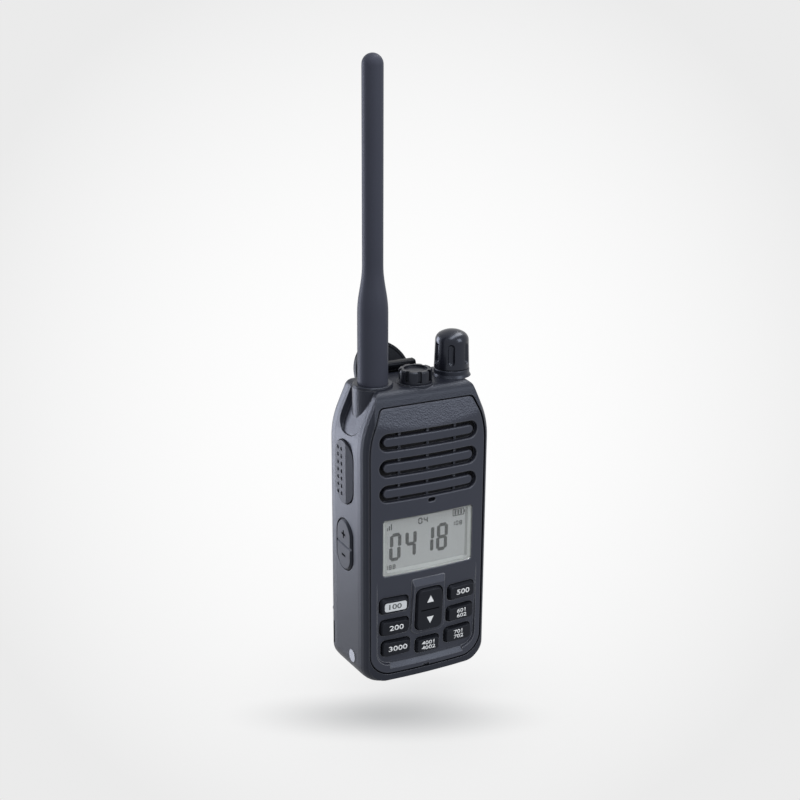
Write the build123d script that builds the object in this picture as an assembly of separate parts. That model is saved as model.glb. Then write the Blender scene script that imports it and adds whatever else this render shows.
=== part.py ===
from build123d import *
from math import atan2, cos, degrees, radians, sin, sqrt, tan
import os

# A handheld VHF marine radio, about 62 mm wide, 33 mm deep and 129 mm tall to its deck, with a stub
# antenna, a volume knob, a screwed jack cap, a side transmit button, a side rocker, a keypad, an LCD,
# a slide-in battery and a sprung belt clip.
# Millimetres. X points right as seen by the user, Y points back, Z points up.
# The origin is the centre of the base, which is flat at z = 0.

# ---------------------------------------------------------------- case
body_width = 62.0
body_depth = 33.0
deck_height = 129.3
rear_thickness = 6.0        # of the rear case, behind the case joint
front_radius = 253.0        # the front is a shallow barrel in plan
rim_inset = 3.55            # each side of the front rim lies this far inside the widest part
rim_setback = 1.4
rim_rise = 1.0              # the front rim starts this far above the base
corner_insets = (2.55, 1.85, 1.4)       # the rounded corner between the rim and the flank
corner_setbacks = (2.4, 3.6, 5.2)
flank_inset = 1.13          # the flanks open out from here to the case joint
flank_setback = 7.5
base_corner = 8.0
shoulder_drop = 16.8        # the shoulders start this far below the deck
shoulder_lean = 24.0        # degrees from upright
shoulder_round = 35.0
crown_round = 4.0
brow_drop = 16.1            # over this height, up to the deck, the front leans back
brow_lean = 17.0            # degrees
brow_blend = 10.0           # radius where the lean starts
deck_edge_round = 5.0
deck_skim = 0.05            # the rounded edge runs out this far above the deck
rear_edge_round = 3.2
side_wall = 4.5
front_wall = 2.0
floor_wall = 2.5
deck_wall = 3.0
shoulder_wall = 2.4
seat_gap = 0.1              # between pieces that are fixed to each other
part_gap = 0.3              # round a piece that moves

# ---------------------------------------------------------------- front panel
panel_thickness = 2.4
panel_gap = 0.5
panel_edge_round = 0.6
pocket_play = 0.2
notch_width = 3.0           # of the pry notch in the foot of the panel
notch_x = -0.7
notch_height = 1.2
notch_depth = 1.0
panel_inset = 4.3           # from the widest part of the body to the panel edge
panel_base = 4.2
panel_top_drop = 5.9        # from the deck to the top of the panel
panel_shoulder_drop = 18.3
foot_share = 0.10           # the free height of the panel is shared out below the keys,
middle_share = 0.09         # between the keys and the display
speaker_share = 0.357       # and between the display and the slots
panel_base_corner = 9.5
panel_top_corner = 2.5
slot_side = 3.85            # from the end of a slot to the edge of the panel
slot_height = 7.8
slot_pitch = 11.2
slot_count = 3
slot_edge_round = 0.35
bar_gap = 1.95              # from the edge of a slot to its bar
bar_recess = 0.35
bar_edge_round = 0.6
grille_plate = 1.0
grille_web = 1.0
grille_web_pitch = 13.0
grille_margin = 1.6         # plate beyond the ends of the slots
grille_rim = 0.5            # plate above and below the slots
mesh_thickness = 0.2
mic_x = 1.1
mic_drop = 1.7              # from the lowest slot
mic_slot = 3.4
mic_slot_height = 1.7
mic_radius = 1.6
mic_depth = 1.5
sound_hole_radius = 1.0

# ---------------------------------------------------------------- display
display_side = 5.5          # from the display opening to the edge of the panel
display_height = 25.3
display_corner = 1.2
window_thickness = 1.0
window_recess = 0.25
bezel_side = 2.6
bezel_foot = 1.8
bezel_head = 0.8
bezel_flange = 1.4
glass_depth = 2.9           # from the middle of the front to the display glass
glass_thickness = 1.4
glass_side = 1.1            # from the opening to the edge of the glass
glass_head = 0.7

# ---------------------------------------------------------------- keys
field_height = 41.6         # of the shallow well that holds the keys
field_side = 2.8            # from the well to the edge of the panel
field_foot = 1.4            # from the sloping foot's lower edge to the well's own wall
field_corner = 6.6
field_depth = 1.3           # at its foot; it runs out to nothing at its top
field_draft = 30.0          # degrees
foot_ramp_height = 2.1
foot_ramp_reach = 17.7      # half the length of the sloping foot
key_height = 7.8
key_side = 0.9              # from the outermost key to the well
key_spacing = 2.5           # from the side keys to the up and down key
key_corner = 2.2
key_rise = 1.8
key_draft = 20.0            # degrees
key_shank = 1.0             # the draft starts this far behind the front
nav_shank = -0.3
key_edge_round = 0.35
key_gap = 0.4
key_flange = 0.8
key_travel = 0.6
key_row_places = (29.9, 19.6, 9.6)      # above the foot of the field
key_row_insets = (0.0, 0.3, 1.1)        # the lower keys move in, as the body narrows
cap_margin = 1.5            # of the pale cap in its key
cap_thickness = 0.9
cap_proud = 0.12
centre_key_width = 12.0
centre_key_place = 7.9
nav_width = 13.4
nav_height = 20.5
nav_place = 25.44
nav_corner = 3.4
nav_rise = 2.4
nav_groove = 0.5
nav_rock = 2.5              # degrees each way
island_margin = 1.3
island_rise = 1.1           # at its head; it runs out towards its foot
island_foot_depth = 0.3
island_ramp = 3.0
island_draft = 40.0         # degrees
mat_thickness = 1.2
mat_side = 1.0              # from the edge of the main board to the sheet
mat_foot = 3.1
mat_head = 2.5
mat_corner = 1.8
mat_gap = 0.25
ledge_reach = 0.8           # of the ledges under the edges of the main board
ledge_end = 3.1

# ---------------------------------------------------------------- inner stack, depths behind the front
board_depth = 6.3
board_thickness = 1.6
board_inset = 5.6           # from the widest part of the body
board_base = 5.0
board_speaker_gap = 1.6
chassis_depth = 10.0
chassis_thickness = 2.5
chassis_margin = 3.4        # narrower than the main board on each side
chassis_base = 5.0
chassis_head = 0.2          # above the speaker
post_radius = 2.0
post_inset = 2.0            # of the posts to the main board, from the edge of the chassis
post_foot = 7.0
post_head = 5.2
tub_post_inset = 6.0
tub_post_foot = 3.0
tub_post_head = 5.7
rf_post_radius = 1.5
rf_post_inset = 3.0
rf_post_foot = 4.5
rf_post_head = 4.0
rf_depth = 14.0
rf_thickness = 1.5
rf_margin = 4.0             # narrower than the chassis on each side
rf_base = 10.5
rf_head = 7.0               # below the top of the pack
shield_margin = 4.0         # narrower than the radio board on each side
shield_length = 34.0
shield_head = 3.0
shield_gap = 1.5            # to the battery tub
shield_wall = 0.4
speaker_radius = 13.5
speaker_flange = 1.2
speaker_depth = 5.2
speaker_clearance = 0.45
basket_depth = 2.4
magnet_radius = 8.0

# ---------------------------------------------------------------- battery bay and pack
rail_width = 7.0            # of the case on each side of the pack
head_height = 31.3          # of the case above the pack
pack_depth = 10.5
pack_foot = 0.4             # the pack hangs just clear of the base
pack_wall = 1.5
pack_gap = 0.3
pack_edge_round = 2.0
tongue_reach = 1.6
tongue_depth = 2.0
tongue_setback = 1.3        # behind the case joint
bay_wall = 1.4
head_side = 10.0            # on each side of the room in the head of the rear case
head_wall = 2.6
cell_gap = 0.4
cell_round = 2.4
pack_back_wall = 2.7        # with the latch and the grip ribs in it
pack_head_wall = 3.0
cover_thickness = 0.95
contact_count = 3
contact_pitch = 6.0
contact_setback = 3.5       # behind the front of the pack
contact_half = 1.4
contact_depth = 0.6
pin_radius = 0.9
pin_head = 2.0
latch_half = 8.0
latch_foot = 4.0
latch_height = 6.0
latch_depth = 2.1
latch_travel = 3.0
latch_proud = 0.2
latch_groove_half = 6.0
latch_groove_pitch = 1.6
latch_groove = 0.8
latch_groove_foot = 1.2
latch_groove_depth = 0.3
latch_grooves = 3
grip_half = 14.0
grip_count = 4
grip_pitch = 2.4
grip_height = 1.2
grip_foot = 18.0
grip_depth = 0.5

# ---------------------------------------------------------------- transmit button and side rocker
ptt_setback = 18.4          # behind the front
ptt_drop = 2.6              # below the hollow in the shoulder
ptt_width = 15.6
ptt_length = 28.6
ptt_recess = 2.7            # of the recess floor, from the widest part of the body
ptt_proud = 0.5
ptt_thickness = 2.1
ptt_edge_round = 0.5
ptt_facet_start = 2.9       # in front of the middle of the button
ptt_facet_end = 7.4
ptt_facet_depth = 1.3
ptt_gap = 0.35
ptt_travel = 1.0
ptt_dimple_rows = 7
ptt_dimple_pitch = 3.3
ptt_dimple_radius = 0.85
ptt_dimple_depth = 0.35
plunger_radius = 2.0
plunger_gap = 0.05
rocker_setback = 18.7       # behind the front
rocker_drop = 6.95          # below the transmit button
rocker_width = 14.8
rocker_length = 23.7
rocker_recess = 2.9
rocker_proud = 0.2
rocker_thickness = 1.6
rocker_edge = 0.8
rocker_groove = 1.0
rocker_rib = 0.2            # that the rib sinks into the pad
rocker_plunger = 1.4
rocker_hole = 1.9
rocker_throw = 7.0          # from the rocker's middle to each plunger
switch_inset = 5.8          # of the switch faces, from the widest part of the body
switch_depth = 3.0
switch_half = 2.4
switch_setback = 2.2        # of the switch front, before its plunger
switch_board = 1.0
switch_play = 0.1
flange_width = 2.2          # of the chassis flange behind the side board
side_board_foot = 12.0
side_board_head = 7.0
side_board_back = 20.6      # behind the front

# ---------------------------------------------------------------- deck
antenna_inset = 13.0       # from the widest part of the body
knob_inset = 12.0
post_setback = 17.3         # of the antenna and the knob, behind the front
collar_radius = 8.35
collar_height = 1.2
collar_groove = 0.3
antenna_base_radius = 6.35
antenna_top_radius = 4.3
antenna_base_length = 30.7
antenna_flare_length = 20.0
antenna_length = 133.1
connector_radius = 3.0
connector_reach = 7.0
connector_nut_radius = 5.0
connector_nut = 1.8
boss_radius = 8.6
boss_drop = 12.3
knob_ring_radius = 7.6
knob_ring_height = 3.3
knob_ring_flare = 0.6
knob_radius = 7.5
knob_top_radius = 7.1
knob_height = 11.4          # to its shoulder
knob_dome = 4.7
knob_bore_stop = 3.0        # below the shoulder
dome_turn = 60.0            # degrees of the dome that its tighter shoulder arc takes
flute_count = 6
flute_radius = 1.7
flute_bite = 0.9
flute_base = 3.5            # above the foot of the knob
flute_top = 9.5
shaft_radius = 3.0
encoder_width = 6.6
encoder_length = 10.0
encoder_height = 5.0
encoder_floor = 1.0
jack_setback = 13.8         # behind the front
jack_boss_radius = 8.0
jack_boss_height = 0.6
jack_boss_depth = 9.3
jack_cap_radius = 7.0
jack_cap_height = 5.4
jack_cap_wall = 2.0
jack_cap_dish = 0.9
jack_body_radius = 5.0
jack_bore = 3.6
jack_depth = 10.0
jack_floor = 1.2
cap_notches = 8
cap_notch_width = 1.8
cap_notch_depth = 4.6
cap_notch_cut = 1.3
cap_notch_turn = 32.0       # degrees
fit_gap = 0.05              # radial, where a round piece turns or slides in its hole

# ---------------------------------------------------------------- belt clip
clip_pin_reach = 5.0        # behind the back of the case
clip_pin_drop = 11.8        # below the deck
clip_pin_radius = 1.2
clip_thickness = 2.0
knuckle_radius = 2.5
clip_half = 8.5
clip_neck_half = 7.6
clip_length = 72.5          # below the pin
clip_tip_gap = 0.8
clip_belt_gap = 4.5         # room for a belt between the pack and the blade
paddle_radius = 13.2
paddle_rise = 7.0           # above the pin
paddle_lean = 30.0          # degrees from upright
paddle_rim = 1.2
paddle_dish = 0.45
bracket_half = 10.0
bracket_thickness = 1.8
bracket_drop = 25.3         # below the deck
hump_height = 4.3
ear_thickness = 2.0
ear_radius = 3.5
hump_half = 8.7
hump_reach = 3.0            # in front of the back of the case
hump_wall = 1.6
hump_bar = 2.0
hump_round = 1.4
ear_foot = 6.0
spring_turns = 6
spring_pitch = 1.1
spring_radius = 2.05
spring_wire = 0.6
spring_room = 3.4
spring_room_half = 3.8
clip_toe = 4.0
clip_ramp = 16.0

# ---------------------------------------------------------------- small parts
stud_radius = 2.8
stud_setback = 12.8         # behind the front
stud_height = 9.8
stud_proud = 0.15
stud_depth = 3.5            # of the head, from the widest part of the body
stud_pin_radius = 1.0
screw_radius = 1.1
screw_head_radius = 2.1
screw_head = 1.3
screw_length = 11.0
screw_sink = 0.4
screw_pilot_depth = 7.5
cross_length = 2.6
cross_width = 0.6
clip_screw_x = 5.5
clip_screw_rise = 3.6       # above the foot of the bracket
gasket_inset = 0.7
gasket_width = 0.7
low_screw_inset = 2.8
low_screw_height = 24.0
high_screw_inset = 6.6
high_screw_drop = 25.3
screw_boss = 3.0
pry_foot = 8.0
pry_height = 11.0
pry_setback = 2.2
pry_width = 1.8
pry_depth = 1.2

# ---------------------------------------------------------------- hollow in the left shoulder
scoop_drop = 19.4           # of its foot, below the deck
scoop_setback = 5.2         # of its front wall
scoop_back = 1.8            # from its back wall to the case joint
scoop_round = 8.5
scoop_depth = 2.4
scoop_front_slope = 1.8      # the walls draw in by this much for each millimetre of depth
scoop_foot_slope = 0.95
scoop_back_slope = 0.3

# ---------------------------------------------------------------- places worked out from the sizes
half_body = body_width / 2
front_y = -body_depth / 2
back_y = body_depth / 2
case_split = back_y - rear_thickness
rim_y = front_y + rim_setback
flank_y = front_y + flank_setback
shoulder_height = deck_height - shoulder_drop
brow_height = deck_height - brow_drop
cavity_half = half_body - side_wall
cavity_top = deck_height - deck_wall
pocket_depth = panel_thickness + pocket_play
wall_back_depth = pocket_depth + front_wall

panel_half = half_body - panel_inset
panel_top = deck_height - panel_top_drop
panel_shoulder = deck_height - panel_shoulder_drop
slot_length = 2 * (panel_half - slot_side)
slot_block = (slot_count - 1) * slot_pitch + slot_height
bar_length = slot_length - 2 * bar_gap
bar_height = slot_height - 2 * bar_gap
free_height = panel_top - panel_base - field_height - display_height - slot_block
field_half = panel_half - field_side
field_base = panel_base + free_height * foot_share
field_top = field_base + field_height
display_width = 2 * (panel_half - display_side)
display_middle = field_top + free_height * middle_share + display_height / 2
slot_foot = display_middle + display_height / 2 + free_height * speaker_share
slot_middle_height = slot_foot + slot_block / 2
slot_heights = [slot_foot + slot_height / 2 + slot_pitch * i for i in range(slot_count)]
mic_height = slot_foot - mic_drop
speaker_height = slot_middle_height
grille_half = slot_length / 2 + grille_margin
grille_half_height = slot_block / 2 + grille_rim

key_width = field_half - key_side - nav_width / 2 - key_spacing
key_row_heights = [field_base + place for place in key_row_places]
key_row_outers = [field_half - key_side - inset for inset in key_row_insets]
centre_key_height = field_base + centre_key_place
nav_middle = field_base + nav_place

pack_width = body_width - 2 * rail_width
pack_height = deck_height - head_height
pack_front = back_y - pack_depth
bay_front = pack_front - pack_gap
tub_front = bay_front - bay_wall
bay_half = pack_width / 2 + pack_gap
tub_half = bay_half + bay_wall
bay_top = pack_height + pack_gap
tub_top = bay_top + bay_wall
tongue_front = case_split + tongue_setback
contact_places = [contact_pitch * (i - (contact_count - 1) / 2) for i in range(contact_count)]

board_front = front_y + board_depth
board_half = half_body - board_inset
board_top = speaker_height - speaker_radius - board_speaker_gap
mat_front = board_front - mat_thickness
mat_half = board_half - mat_side
mat_low = field_base + mat_foot
mat_high = field_top - mat_head
key_back = mat_front - key_travel - 0.1
glass_y = front_y + glass_depth
chassis_front = front_y + chassis_depth
chassis_back = chassis_front + chassis_thickness
chassis_half = board_half - chassis_margin
chassis_top = speaker_height + speaker_radius + chassis_head
rf_front = front_y + rf_depth
rf_half = chassis_half - rf_margin
rf_top = pack_height - rf_head
shield_half = rf_half - shield_margin
shield_top = rf_top - shield_head
shield_base = shield_top - shield_length

scoop_foot = deck_height - scoop_drop
ptt_y = front_y + ptt_setback
ptt_height = scoop_foot - ptt_drop - ptt_length / 2
ptt_floor = half_body - ptt_recess
ptt_face = half_body + ptt_proud
ptt_back = ptt_face - ptt_thickness
rocker_y = front_y + rocker_setback
rocker_height = ptt_height - ptt_length / 2 - rocker_drop - rocker_length / 2
rocker_floor = half_body - rocker_recess
rocker_face = half_body + rocker_proud
rocker_back = rocker_face - rocker_thickness
rocker_ends = (rocker_height - rocker_throw, rocker_height + rocker_throw)
switch_face = half_body - switch_inset
side_board_left = -switch_face + switch_depth
side_board_low = rocker_height - side_board_foot
side_board_high = ptt_height + side_board_head
side_board_y = front_y + side_board_back

antenna_x = antenna_inset - half_body
knob_x = half_body - knob_inset
deck_post_y = front_y + post_setback
antenna_base_top = deck_height + antenna_base_length
antenna_flare_top = antenna_base_top + antenna_flare_length
antenna_tip = deck_height + antenna_length
knob_foot = deck_height + knob_ring_height + part_gap
knob_shoulder = knob_foot + knob_height
knob_apex = knob_shoulder + knob_dome
shaft_top = knob_shoulder - knob_bore_stop
jack_y = front_y + jack_setback
jack_low = deck_height - jack_depth
jack_cap_foot = deck_height + jack_boss_height + fit_gap
jack_cap_top = jack_cap_foot + jack_cap_height

stud_y = front_y + stud_setback
stud_back = half_body - stud_depth
low_screw_x = half_body - low_screw_inset
high_screw_x = half_body - high_screw_inset
high_screw_height = deck_height - high_screw_drop
bracket_base = deck_height - bracket_drop
bracket_top = deck_height + hump_height
bracket_back = back_y + bracket_thickness
clip_screw_height = bracket_base + clip_screw_rise
hump_front = back_y - hump_reach
clip_pin_y = back_y + clip_pin_reach
clip_pin_height = deck_height - clip_pin_drop
clip_foot = clip_pin_height - clip_length
paddle_height = clip_pin_height + paddle_rise


# ---------------------------------------------------------------- drawing helpers
def slab(profile, y_front, y_back):
    """Extrude a profile drawn in X and Z from y_front to y_back."""
    return extrude(Plane.XZ.offset(-y_front) * profile, amount=y_front - y_back)


def side_slab(profile, x_left, x_right):
    """Extrude a profile drawn in Y and Z from x_left to x_right."""
    return extrude(Plane.YZ.offset(x_left) * profile, amount=x_right - x_left)


def block(x_left, x_right, y_front, y_back, z_low, z_high):
    """A box between its two corners."""
    centre = Pos((x_left + x_right) / 2, (y_front + y_back) / 2, (z_low + z_high) / 2)
    return centre * Box(x_right - x_left, y_back - y_front, z_high - z_low)


def post(x, y, radius, z_low, z_high):
    """An upright cylinder."""
    return Pos(x, y, (z_low + z_high) / 2) * Cylinder(radius, z_high - z_low)


def rod_y(x, z, radius, y_front, y_back):
    """A cylinder that runs front to back."""
    return Pos(x, (y_front + y_back) / 2, z) * Rot(90, 0, 0) * Cylinder(radius, y_back - y_front)


def rod_x(y, z, radius, x_left, x_right):
    """A cylinder that runs left to right."""
    return Pos((x_left + x_right) / 2, y, z) * Rot(0, 90, 0) * Cylinder(radius, x_right - x_left)


def stadium(length, height, x=0.0, z=0.0, turn=0.0):
    """A slot outline with round ends."""
    return Pos(x, z) * Rot(0, 0, turn) * SlotOverall(length, height)


def rounded(width, height, radius, x=0.0, z=0.0):
    """A rectangle with round corners."""
    return Pos(x, z) * RectangleRounded(width, height, radius)


def turned(*profile):
    """Revolve a half outline, drawn in X and Z, about the upright axis."""
    return revolve(Plane.XZ * make_face(profile), axis=Axis.Z)


def save(name, shape):
    """Write one node."""
    export_step(shape, f"parts/{name}.step")


# ---------------------------------------------------------------- the shape of the body
def front_form(depth, edge_round=0.0):
    """All that lies behind the front skin at a depth: a barrel in plan with a leaning brow above."""
    reach = half_body + 2
    radius = front_radius - depth
    edge_y = front_y + front_radius - sqrt(radius**2 - reach**2)
    arc = ThreePointArc((-reach, edge_y), (0, front_y + depth), (reach, edge_y))
    frame = Polyline((reach, edge_y), (reach, back_y + 30), (-reach, back_y + 30), (-reach, edge_y))
    barrel = Pos(0, 0, -5) * extrude(make_face([arc, frame]), amount=deck_height + 10)
    lean = tan(radians(brow_lean))
    start = front_y + depth / cos(radians(brow_lean))
    drop = 20.0
    top = deck_height + deck_skim
    side = FilletPolyline(
        (start - drop * lean, brow_height - drop),
        (start + (top - brow_height) * lean, top),
        (back_y + 20, top),
        (back_y + 20, -2),
        (start - drop * lean, -2),
        radius=[0, edge_round, 0, 0, 0],
        close=True,
    )
    form = barrel & side_slab(make_face(side), -reach, reach)
    crease = form.edges().sort_by_distance((0, front_y + depth, brow_height))[0]
    return fillet(crease, brow_blend - depth)


def skin_y(x, z, depth=0.0):
    """Where the front lies at a place, but for the blend where it starts to lean."""
    radius = front_radius - depth
    barrel_y = front_y + front_radius - sqrt(radius**2 - x**2)
    lean = radians(brow_lean)
    return max(barrel_y, front_y + depth / cos(lean) + (z - brow_height) * tan(lean))


def rim_edges(solid, depth=0.0):
    """The edges where walls that run straight back meet the front."""
    rim = ShapeList()
    for face in solid.faces():
        if abs(face.normal_at().Y) > 0.1:
            continue
        for edge in face.edges():
            middle = edge.position_at(0.5)
            if abs(middle.Y - skin_y(middle.X, middle.Z, depth)) < 0.3:
                rim.append(edge)
    return rim


def skin(profile, outer, inner):
    """A sheet of a given outline that lies between two depths under the front."""
    return (slab(profile, front_y - 4, front_y + 14) & front_form(outer)) - front_form(inner)


def field_form(depth):
    """The barrel tipped so that it sinks into the panel towards the foot of the key field."""
    tip = degrees(atan2(field_depth, field_height))
    hinge = Pos(0, front_y, field_top)
    return hinge * Rot(tip, 0, 0) * hinge.inverse() * front_form(depth)


def body_outline(inset, base):
    """The body seen from the front, drawn in by an inset."""
    half = half_body - inset
    knee = shoulder_height - inset / 4
    top_half = half - (deck_height - knee) * tan(radians(shoulder_lean))
    outline = FilletPolyline(
        (-half, base),
        (half, base),
        (half, knee),
        (top_half, deck_height),
        (-top_half, deck_height),
        (-half, knee),
        radius=[base_corner, base_corner, shoulder_round, crown_round, crown_round, shoulder_round],
        close=True,
    )
    return make_face(outline)


def body_form():
    """The whole outside of the case."""
    stations = [(rim_inset, rim_y)]
    for inset, setback in zip(corner_insets, corner_setbacks):
        stations.append((inset, front_y + setback))
    stations.append((flank_inset, flank_y))
    sections = []
    for inset, y in stations:
        rise = rim_rise * (inset - flank_inset) / (rim_inset - flank_inset)
        sections.append(Plane.XZ.offset(-y) * body_outline(inset, rise))
    sections.append(Plane.XZ.offset(-case_split) * body_outline(0, 0))
    flared = loft(sections, ruled=True)
    nose = slab(body_outline(rim_inset, rim_rise), front_y - 1, rim_y)
    tail = slab(body_outline(0, 0), case_split, back_y)
    tail = fillet(tail.faces().sort_by(Axis.Y)[-1].edges(), rear_edge_round)
    return (flared + nose + tail) & front_form(0, deck_edge_round)


def panel_outline(gap=0.0):
    """The edge of the front panel, or of the pocket that holds it."""
    half = panel_half + gap
    top_half = panel_half - (panel_top - panel_shoulder) * tan(radians(shoulder_lean)) + gap
    outline = FilletPolyline(
        (-half, panel_base - gap),
        (half, panel_base - gap),
        (half, panel_shoulder),
        (top_half, panel_top + gap),
        (-top_half, panel_top + gap),
        (-half, panel_shoulder),
        radius=[
            panel_base_corner + gap,
            panel_base_corner + gap,
            shoulder_round,
            panel_top_corner,
            panel_top_corner,
            shoulder_round,
        ],
        close=True,
    )
    return make_face(outline)


def cavity_form():
    """The room inside the front case."""
    lean = tan(radians(shoulder_lean))
    knee = shoulder_height - shoulder_wall
    knee_half = cavity_half
    top_half = knee_half - (cavity_top - knee) * lean + shoulder_wall / 2
    outline = Polyline(
        (-knee_half, floor_wall),
        (knee_half, floor_wall),
        (knee_half, knee),
        (top_half, cavity_top),
        (-top_half, cavity_top),
        (-knee_half, knee),
        close=True,
    )
    return slab(make_face(outline), front_y, case_split) & front_form(wall_back_depth)


def flank_x(y):
    """Half width of the body at a depth between the flank and the case joint."""
    share = (case_split - y) / (case_split - flank_y)
    return half_body - flank_inset * share


# ---------------------------------------------------------------- outlines shared by holes and pieces
def key_outline(row, side):
    """One side key: row 0 is the upper one and side is -1 on the left."""
    middle = side * (key_row_outers[row] - key_width / 2)
    return rounded(key_width, key_height, key_corner, middle, key_row_heights[row])


def centre_key_outline():
    return rounded(centre_key_width, key_height, key_corner, 0, centre_key_height)


def nav_outline():
    return rounded(nav_width, nav_height, nav_corner, 0, nav_middle)


def display_outline(margin=0.0):
    """The display opening, grown by a margin."""
    return rounded(
        display_width + 2 * margin, display_height + 2 * margin, display_corner, 0, display_middle
    )


def grille_outline(margin=0.0):
    return rounded(2 * (grille_half + margin), 2 * (grille_half_height + margin), 2.0, 0, slot_middle_height)


side_keys = {
    "key_left_top": key_outline(0, -1),
    "key_left_middle": key_outline(1, -1),
    "key_left_low": key_outline(2, -1),
    "key_right_top": key_outline(0, 1),
    "key_right_middle": key_outline(1, 1),
    "key_right_low": key_outline(2, 1),
    "key_centre": centre_key_outline(),
}


# ---------------------------------------------------------------- front case
def shoulder_scoop():
    """The hollow in the left shoulder beside the antenna boss, with walls that slope in to its floor."""
    knee = (-half_body, 0, shoulder_height)
    lean = radians(shoulder_lean)
    outward = (-cos(lean), 0, sin(lean))
    foot = (scoop_foot - shoulder_height) / cos(lean)
    sections = []
    for depth in (-1.0, scoop_depth):
        front = front_y + scoop_setback + scoop_front_slope * depth
        back = case_split - scoop_back - scoop_back_slope * depth
        low = foot + scoop_foot_slope * (depth - scoop_depth / 2)
        high = (shoulder_drop + 3) / cos(lean)
        outline = FilletPolyline(
            (-back, low),
            (-front, low),
            (-front, high),
            (-back, high),
            radius=[scoop_round - depth, scoop_round - depth, 0, 0],
            close=True,
        )
        plane = Plane(origin=knee, x_dir=(0, -1, 0), z_dir=outward).offset(-depth)
        sections.append(plane * make_face(outline))
    return loft(sections, ruled=True)


def ptt_outline(gap=0.0):
    return stadium(ptt_length + 2 * gap, ptt_width + 2 * gap, ptt_y, ptt_height, 90)


def rocker_outline(gap=0.0):
    return stadium(rocker_length + 2 * gap, rocker_width + 2 * gap, rocker_y, rocker_height, 90)


def front_case():
    reach = half_body + 9
    shell = body_form() & block(-reach, reach, front_y - 2, case_split, -1, deck_height + 1)
    shell -= shoulder_scoop()
    shell += post(antenna_x, deck_post_y, boss_radius, deck_height - boss_drop, deck_height)
    boss_top = deck_height + jack_boss_height
    shell += post(0, jack_y, jack_boss_radius, deck_height - jack_boss_depth, boss_top)
    # the collar's seat stays clear of the jack boss
    shell -= post(antenna_x, deck_post_y, collar_radius + seat_gap, deck_height, boss_top + 1)
    shell -= cavity_form()
    pilot = case_split - screw_pilot_depth
    for side in (-1, 1):
        inner, outer = sorted((side * (high_screw_x - screw_boss), side * (cavity_half + 1)))
        low, high = high_screw_height - screw_boss, high_screw_height + screw_boss
        shell += block(inner, outer, pilot - 2, case_split, low, high)
        # ledges that the main board stands on
        inner, outer = sorted((side * (board_half - ledge_reach), side * (cavity_half + 1)))
        low, high = board_base + ledge_end, board_top - ledge_end
        shell += block(inner, outer, front_y + wall_back_depth, board_front, low, high)
    shell -= slab(panel_outline(panel_gap), front_y - 4, front_y + 14) - front_form(pocket_depth)
    # openings in the wall behind the panel
    opening = board_front + seat_gap
    shell -= slab(mat_outline(mat_gap), front_y, opening)
    shell -= slab(display_outline(bezel_flange + mat_gap), front_y, opening)
    recess_depth = panel_thickness + grille_plate + mesh_thickness + 2 * seat_gap
    shell -= slab(grille_outline(seat_gap), front_y, front_y + 14) - front_form(recess_depth)
    shell -= rod_y(0, speaker_height, speaker_radius - speaker_flange, front_y, opening)
    shell -= rod_y(mic_x, mic_height, sound_hole_radius, front_y, opening)
    # the battery tub of the rear case reaches into the back of the front case
    half = tub_half + seat_gap
    shell -= block(-half, half, tub_front - seat_gap, case_split + 1, -1, 2 * floor_wall)
    # left flank: transmit button and rocker
    inside = -cavity_half + 1
    shell -= side_slab(ptt_outline(), -reach, -ptt_floor)
    shell -= rod_x(ptt_y, ptt_height, plunger_radius + plunger_gap, -half_body, inside)
    shell -= side_slab(rocker_outline(), -reach, -rocker_floor)
    for height in rocker_ends:
        shell -= rod_x(rocker_y, height, rocker_hole, -half_body, inside)
    # charging studs
    for side in (-1, 1):
        ends = sorted((side * reach, side * (stud_back - seat_gap)))
        shell -= rod_x(stud_y, stud_height, stud_radius + fit_gap, *ends)
        ends = sorted((side * (stud_back + 1), side * (cavity_half - 1)))
        shell -= rod_x(stud_y, stud_height, stud_pin_radius + fit_gap, *ends)
    # deck holes
    shell -= post(antenna_x, deck_post_y, connector_radius + fit_gap, cavity_top - 4, deck_height + 1)
    shell -= post(knob_x, deck_post_y, shaft_radius + fit_gap, cavity_top - 4, deck_height + 1)
    shell -= post(antenna_x, deck_post_y, connector_nut_radius + seat_gap, cavity_top - 6, cavity_top)
    shell -= encoder_block(seat_gap)
    shell -= post(0, jack_y, jack_body_radius + fit_gap, jack_low - 1, deck_height + 2)
    shell -= case_gasket()
    # screws from the rear case
    for x, z in case_screw_places():
        shell -= rod_y(x, z, screw_radius, pilot, case_split + 1)
    return shell


# ---------------------------------------------------------------- front panel and grille
def slot_outline(height):
    return stadium(slot_length, slot_height, 0, height)


def key_field():
    """The well that the keys stand in: it deepens towards its foot, where it ends in a slope."""
    # the walls draw in with depth, so the outline is drawn larger than the rim
    spread = (skin_y(field_half, field_base) - front_y) * tan(radians(field_draft))
    half = field_half + spread
    foot = field_base + field_foot
    outline = FilletPolyline(
        (-half, foot),
        (half, foot),
        (half, field_top + 2),
        (-half, field_top + 2),
        radius=[field_corner, field_corner, 0, 0],
        close=True,
    )
    well = extrude(Plane.XZ.offset(-front_y) * make_face(outline), amount=-4, taper=field_draft)
    well += slab(make_face(outline), front_y - 2, front_y)
    well -= field_form(0)
    ramp_top = field_base + foot_ramp_height
    floor_y = front_y + field_depth * (field_top - ramp_top) / field_height
    slope = (ramp_top - field_base) / (floor_y - front_y)
    wedge = Polyline(
        (front_y - 1, field_base - slope),
        (floor_y, ramp_top),
        (floor_y, ramp_top + 1),
        (front_y - 1, ramp_top + 1),
        close=True,
    )
    axis = Axis((0, front_y + front_radius, 0), (0, 0, 1))
    turn = 2 * degrees(foot_ramp_reach / front_radius)
    ramp = revolve(Plane.YZ * make_face(wedge), axis=axis, revolution_arc=turn)
    centre = Pos(0, front_y + front_radius)
    return well + centre * Rot(0, 0, -turn / 2) * centre.inverse() * ramp


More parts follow.
